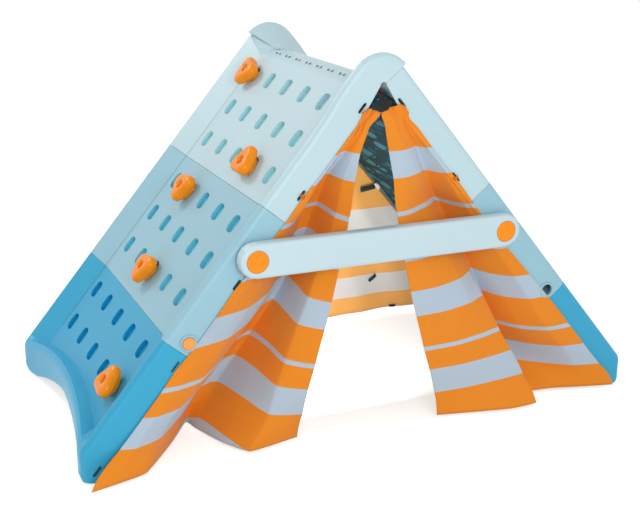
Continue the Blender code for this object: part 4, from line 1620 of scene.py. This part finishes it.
@dataclass
class Studio:
    """Floor, soft light, white background and the camera at the photograph's angle."""

    camera_place: Point = (-1.0898, -2.5162, 1.1817)
    camera_target: Point = (0.0051, 0.0, 0.3210)
    lens: float = 63.9
    sensor: float = 36.0
    roll: float = math.radians(0.25)
    ambient: float = 0.64
    floor_lift: float = 0.56
    floor_tone: float = 0.86
    floor_radius: float = 9.0
    floor_sides: int = 64
    floor_drop: float = 0.0015
    lamps: tuple[Lamp, ...] = (
        Lamp("key", (-1.7, 2.2, 2.9), (-0.2, 0.0, 0.4), 0.9, 36.0),
        Lamp("front", (-0.5, -3.0, 1.4), (-0.1, -0.3, 0.4), 1.3, 31.0),
        Lamp("inside", (0.0, -0.26, 0.25), (0.0, 0.33, 0.32), 0.16, 3.6, 0.34, False))

    def add_camera(self) -> None:
        """Place the camera."""
        data = bpy.data.cameras.new("camera")
        data.lens = self.lens
        data.sensor_width = self.sensor
        camera = bpy.data.objects.new("camera", data)
        bpy.context.scene.collection.objects.link(camera)
        place, target = Vector(self.camera_place), Vector(self.camera_target)
        camera.location = place
        camera.rotation_euler = (target - place).to_track_quat("-Z", "Y").to_euler()
        camera.rotation_euler.rotate_axis("Z", self.roll)
        bpy.context.scene.camera = camera

    def add_lamp(self, lamp: Lamp) -> None:
        """Add one lamp.

        Args:
            lamp: its place, size and power.
        """
        data = bpy.data.lights.new(lamp.name, "AREA")
        data.shape = "RECTANGLE" if lamp.height else "DISK"
        data.size = lamp.size
        if lamp.height:
            data.size_y = lamp.height
        data.energy = lamp.power
        item = bpy.data.objects.new(lamp.name, data)
        bpy.context.scene.collection.objects.link(item)
        item.location = lamp.place
        item.rotation_euler = (Vector(lamp.aim) - Vector(lamp.place)).to_track_quat("-Z", "Y").to_euler()
        item.visible_camera = lamp.shown

    def add_floor(self) -> None:
        """Add the pale floor, white to the camera apart from the object's soft shadow."""
        bm = bmesh.new()
        bmesh.ops.create_circle(bm, cap_ends=True, segments=self.floor_sides, radius=self.floor_radius)
        mesh = bpy.data.meshes.new("floor")
        bm.to_mesh(mesh)
        bm.free()
        floor = bpy.data.objects.new("floor", mesh)
        bpy.context.scene.collection.objects.link(floor)
        floor.location.z = -self.floor_drop
        recipe = Recipe("floor_white")
        recipe.set(Base_Color=(self.floor_tone,) * 3, Roughness=0.9, Specular_IOR_Level=0.0)
        surface = Wire(recipe.tree, recipe.shader.outputs[0])
        lift = recipe.node("ShaderNodeEmission", Color=(1.0, 1.0, 1.0), Strength=self.floor_lift)
        both = recipe.join("ShaderNodeAddShader", surface, lift)
        seen = recipe.join("ShaderNodeMixShader", recipe.seen_directly(), surface, both)
        output = next(node for node in recipe.tree.nodes if node.type == "OUTPUT_MATERIAL")
        recipe.feed(output.inputs["Surface"], seen)
        mesh.materials.append(recipe.material)

    def add_world(self) -> None:
        """White to the camera, plain soft light to the object."""
        world = bpy.data.worlds.new("studio")
        bpy.context.scene.world = world
        world.use_nodes = True
        tree = Tree(world.node_tree)
        tree.tree.nodes.clear()
        soft = tree.node("ShaderNodeBackground", Color=(1.0, 1.0, 1.0), Strength=self.ambient)
        white = tree.node("ShaderNodeBackground", Color=(1.0, 1.0, 1.0), Strength=1.0)
        mix = tree.join("ShaderNodeMixShader", tree.seen_directly(), soft, white)
        output = tree.tree.nodes.new("ShaderNodeOutputWorld")
        tree.feed(output.inputs["Surface"], mix)

    def build(self) -> None:
        """Set up everything around the object."""
        self.add_camera()
        for lamp in self.lamps:
            self.add_lamp(lamp)
        self.add_floor()
        self.add_world()
        bpy.context.scene.view_settings.view_transform = "Standard"
        LOG.info("studio: lens %.1f mm, %d lamps", self.lens, len(self.lamps))


LEFT_FLAP = Flap(
    -1, "left_wall", "front_flap_left",
    crown=((-0.051, 0.752), (-0.044, 0.7565), (-0.036, 0.7600), (-0.025, 0.7560), (-0.0075, 0.7490)),
    lap=((0.049, 0.005), (0.131, 0.004), (0.230, 0.003), (0.280, 0.009), (0.352, 0.004), (0.400, 0.010),
         (0.440, 0.003), (0.470, 0.003), (0.523, 0.010), (0.614, 0.004), (0.693, 0.003), (0.737, 0.010),
         (0.804, 0.004), (0.949, 0.004), (1.013, 0.011), (1.060, 0.010)),
    ties=(0.27, 0.50, 0.73),
    sections=(
        Section(0.720, (
            (-0.066, -0.352), (-0.063, -0.350), (-0.060, -0.348), (-0.056, -0.346), (-0.053, -0.346),
            (-0.050, -0.347), (-0.047, -0.349), (-0.043, -0.352), (-0.035, -0.352))),
        Section(0.663, (
            (-0.112, -0.352), (-0.105, -0.346), (-0.099, -0.338), (-0.092, -0.329), (-0.086, -0.325),
            (-0.081, -0.327), (-0.076, -0.336), (-0.067, -0.347), (-0.054, -0.351))),
        Section(0.601, (
            (-0.164, -0.352), (-0.151, -0.341), (-0.138, -0.321), (-0.124, -0.294), (-0.114, -0.281),
            (-0.106, -0.287), (-0.099, -0.306), (-0.087, -0.333), (-0.066, -0.350))),
        Section(0.517, (
            (-0.236, -0.353), (-0.216, -0.343), (-0.196, -0.322), (-0.162, -0.260), (-0.142, -0.238),
            (-0.124, -0.248), (-0.113, -0.283), (-0.102, -0.325), (-0.078, -0.348))),
        Section(0.330, (
            (-0.392, -0.353), (-0.355, -0.342), (-0.303, -0.315), (-0.248, -0.265), (-0.210, -0.214),
            (-0.188, -0.212), (-0.180, -0.266), (-0.168, -0.324), (-0.117, -0.348))),
        Section(0.184, (
            (-0.517, -0.353), (-0.475, -0.352), (-0.420, -0.328), (-0.356, -0.256), (-0.300, -0.170),
            (-0.268, -0.168), (-0.242, -0.240), (-0.222, -0.320), (-0.157, -0.347))),
        Section(0.068, (
            (-0.620, -0.360), (-0.580, -0.366), (-0.520, -0.338), (-0.440, -0.240), (-0.380, -0.150),
            (-0.350, -0.165), (-0.310, -0.262), (-0.268, -0.336), (-0.184, -0.338))),
        Section(0.007, (
            (-0.684, -0.400), (-0.622, -0.383), (-0.556, -0.360), (-0.468, -0.246), (-0.405, -0.152),
            (-0.392, -0.200), (-0.358, -0.292), (-0.316, -0.354), (-0.193, -0.327)))),
    rise=(0.004, 0.004, 0.004, 0.010, 0.022, 0.034, 0.026, 0.012, 0.0))

RIGHT_FLAP = Flap(
    1, "right_wall", "front_flap_right",
    crown=((0.060, 0.746), (0.052, 0.7560), (0.0415, 0.7640), (0.0263, 0.7615), (0.0096, 0.7550),
           (-0.0065, 0.7485)),
    lap=((0.056, 0.015), (0.120, 0.016), (0.184, 0.013), (0.274, 0.014), (0.395, 0.006), (0.440, 0.002),
         (0.470, 0.002), (0.520, 0.008), (0.653, 0.017), (0.741, 0.020), (0.875, 0.016), (1.045, 0.008)),
    ties=(0.26, 0.74),
    sections=(
        Section(0.720, (
            (0.073, -0.352), (0.066, -0.350), (0.060, -0.348), (0.053, -0.346), (0.049, -0.347),
            (0.044, -0.349), (0.034, -0.353), (0.020, -0.356), (0.004, -0.352))),
        Section(0.663, (
            (0.120, -0.352), (0.110, -0.348), (0.102, -0.339), (0.094, -0.332), (0.088, -0.334),
            (0.080, -0.341), (0.062, -0.353), (0.036, -0.358), (0.014, -0.352))),
        Section(0.601, (
            (0.172, -0.352), (0.159, -0.347), (0.146, -0.331), (0.131, -0.316), (0.122, -0.318),
            (0.109, -0.331), (0.088, -0.346), (0.055, -0.356), (0.0265, -0.353))),
        Section(0.517, (
            (0.240, -0.353), (0.222, -0.340), (0.204, -0.302), (0.187, -0.274), (0.179, -0.277),
            (0.165, -0.292), (0.130, -0.318), (0.080, -0.340), (0.040, -0.350))),
        Section(0.330, (
            (0.398, -0.353), (0.358, -0.344), (0.320, -0.305), (0.290, -0.270), (0.281, -0.282),
            (0.266, -0.308), (0.222, -0.333), (0.150, -0.347), (0.078, -0.351))),
        Section(0.184, (
            (0.523, -0.354), (0.458, -0.349), (0.402, -0.310), (0.356, -0.264), (0.349, -0.290),
            (0.338, -0.336), (0.288, -0.345), (0.200, -0.351), (0.118, -0.352))),
        Section(0.068, (
            (0.622, -0.360), (0.556, -0.340), (0.486, -0.290), (0.420, -0.258), (0.406, -0.300),
            (0.396, -0.360), (0.338, -0.362), (0.240, -0.356), (0.150, -0.351))),
        Section(0.007, (
            (0.662, -0.366), (0.588, -0.347), (0.505, -0.324), (0.425, -0.318), (0.414, -0.348),
            (0.419, -0.384), (0.345, -0.389), (0.250, -0.370), (0.160, -0.350)))),
    rise=(0.002, 0.0, 0.0, 0.008, 0.012, 0.013, 0.009, 0.002, 0.0))

# Number, turn about the bolt, and slip down the slope
HOLDS = (ClimbingHold(1, 0.4, 0.0), ClimbingHold(2, 3.14, 0.007), ClimbingHold(3, 1.9, 0.0),
         ClimbingHold(4, 4.1, 0.007), ClimbingHold(5, 5.3, 0.001))


def main() -> None:
    """Dress the part and set up the studio."""
    logging.basicConfig(level=logging.INFO, format="%(name)s: %(message)s")
    planes = WallPlanes.from_frame()
    Shell().build()
    for hold in HOLDS:
        hold.build(planes)
    GripPockets(-1, "left_wall").build(planes)
    GripPockets(1, "right_wall").build(planes)
    LEFT_FLAP.build(planes)
    RIGHT_FLAP.build(planes)
    BackCurtain().build(planes)
    Liner(-1, "left_wall", "left_liner").build(planes)
    Liner(1, "right_wall", "right_liner").build(planes)
    Toggles().build(planes)
    RidgeGapPaintedShade().build(planes)
    Fittings().build(planes)
    Studio().build()


if __name__ == "__main__":
    main()
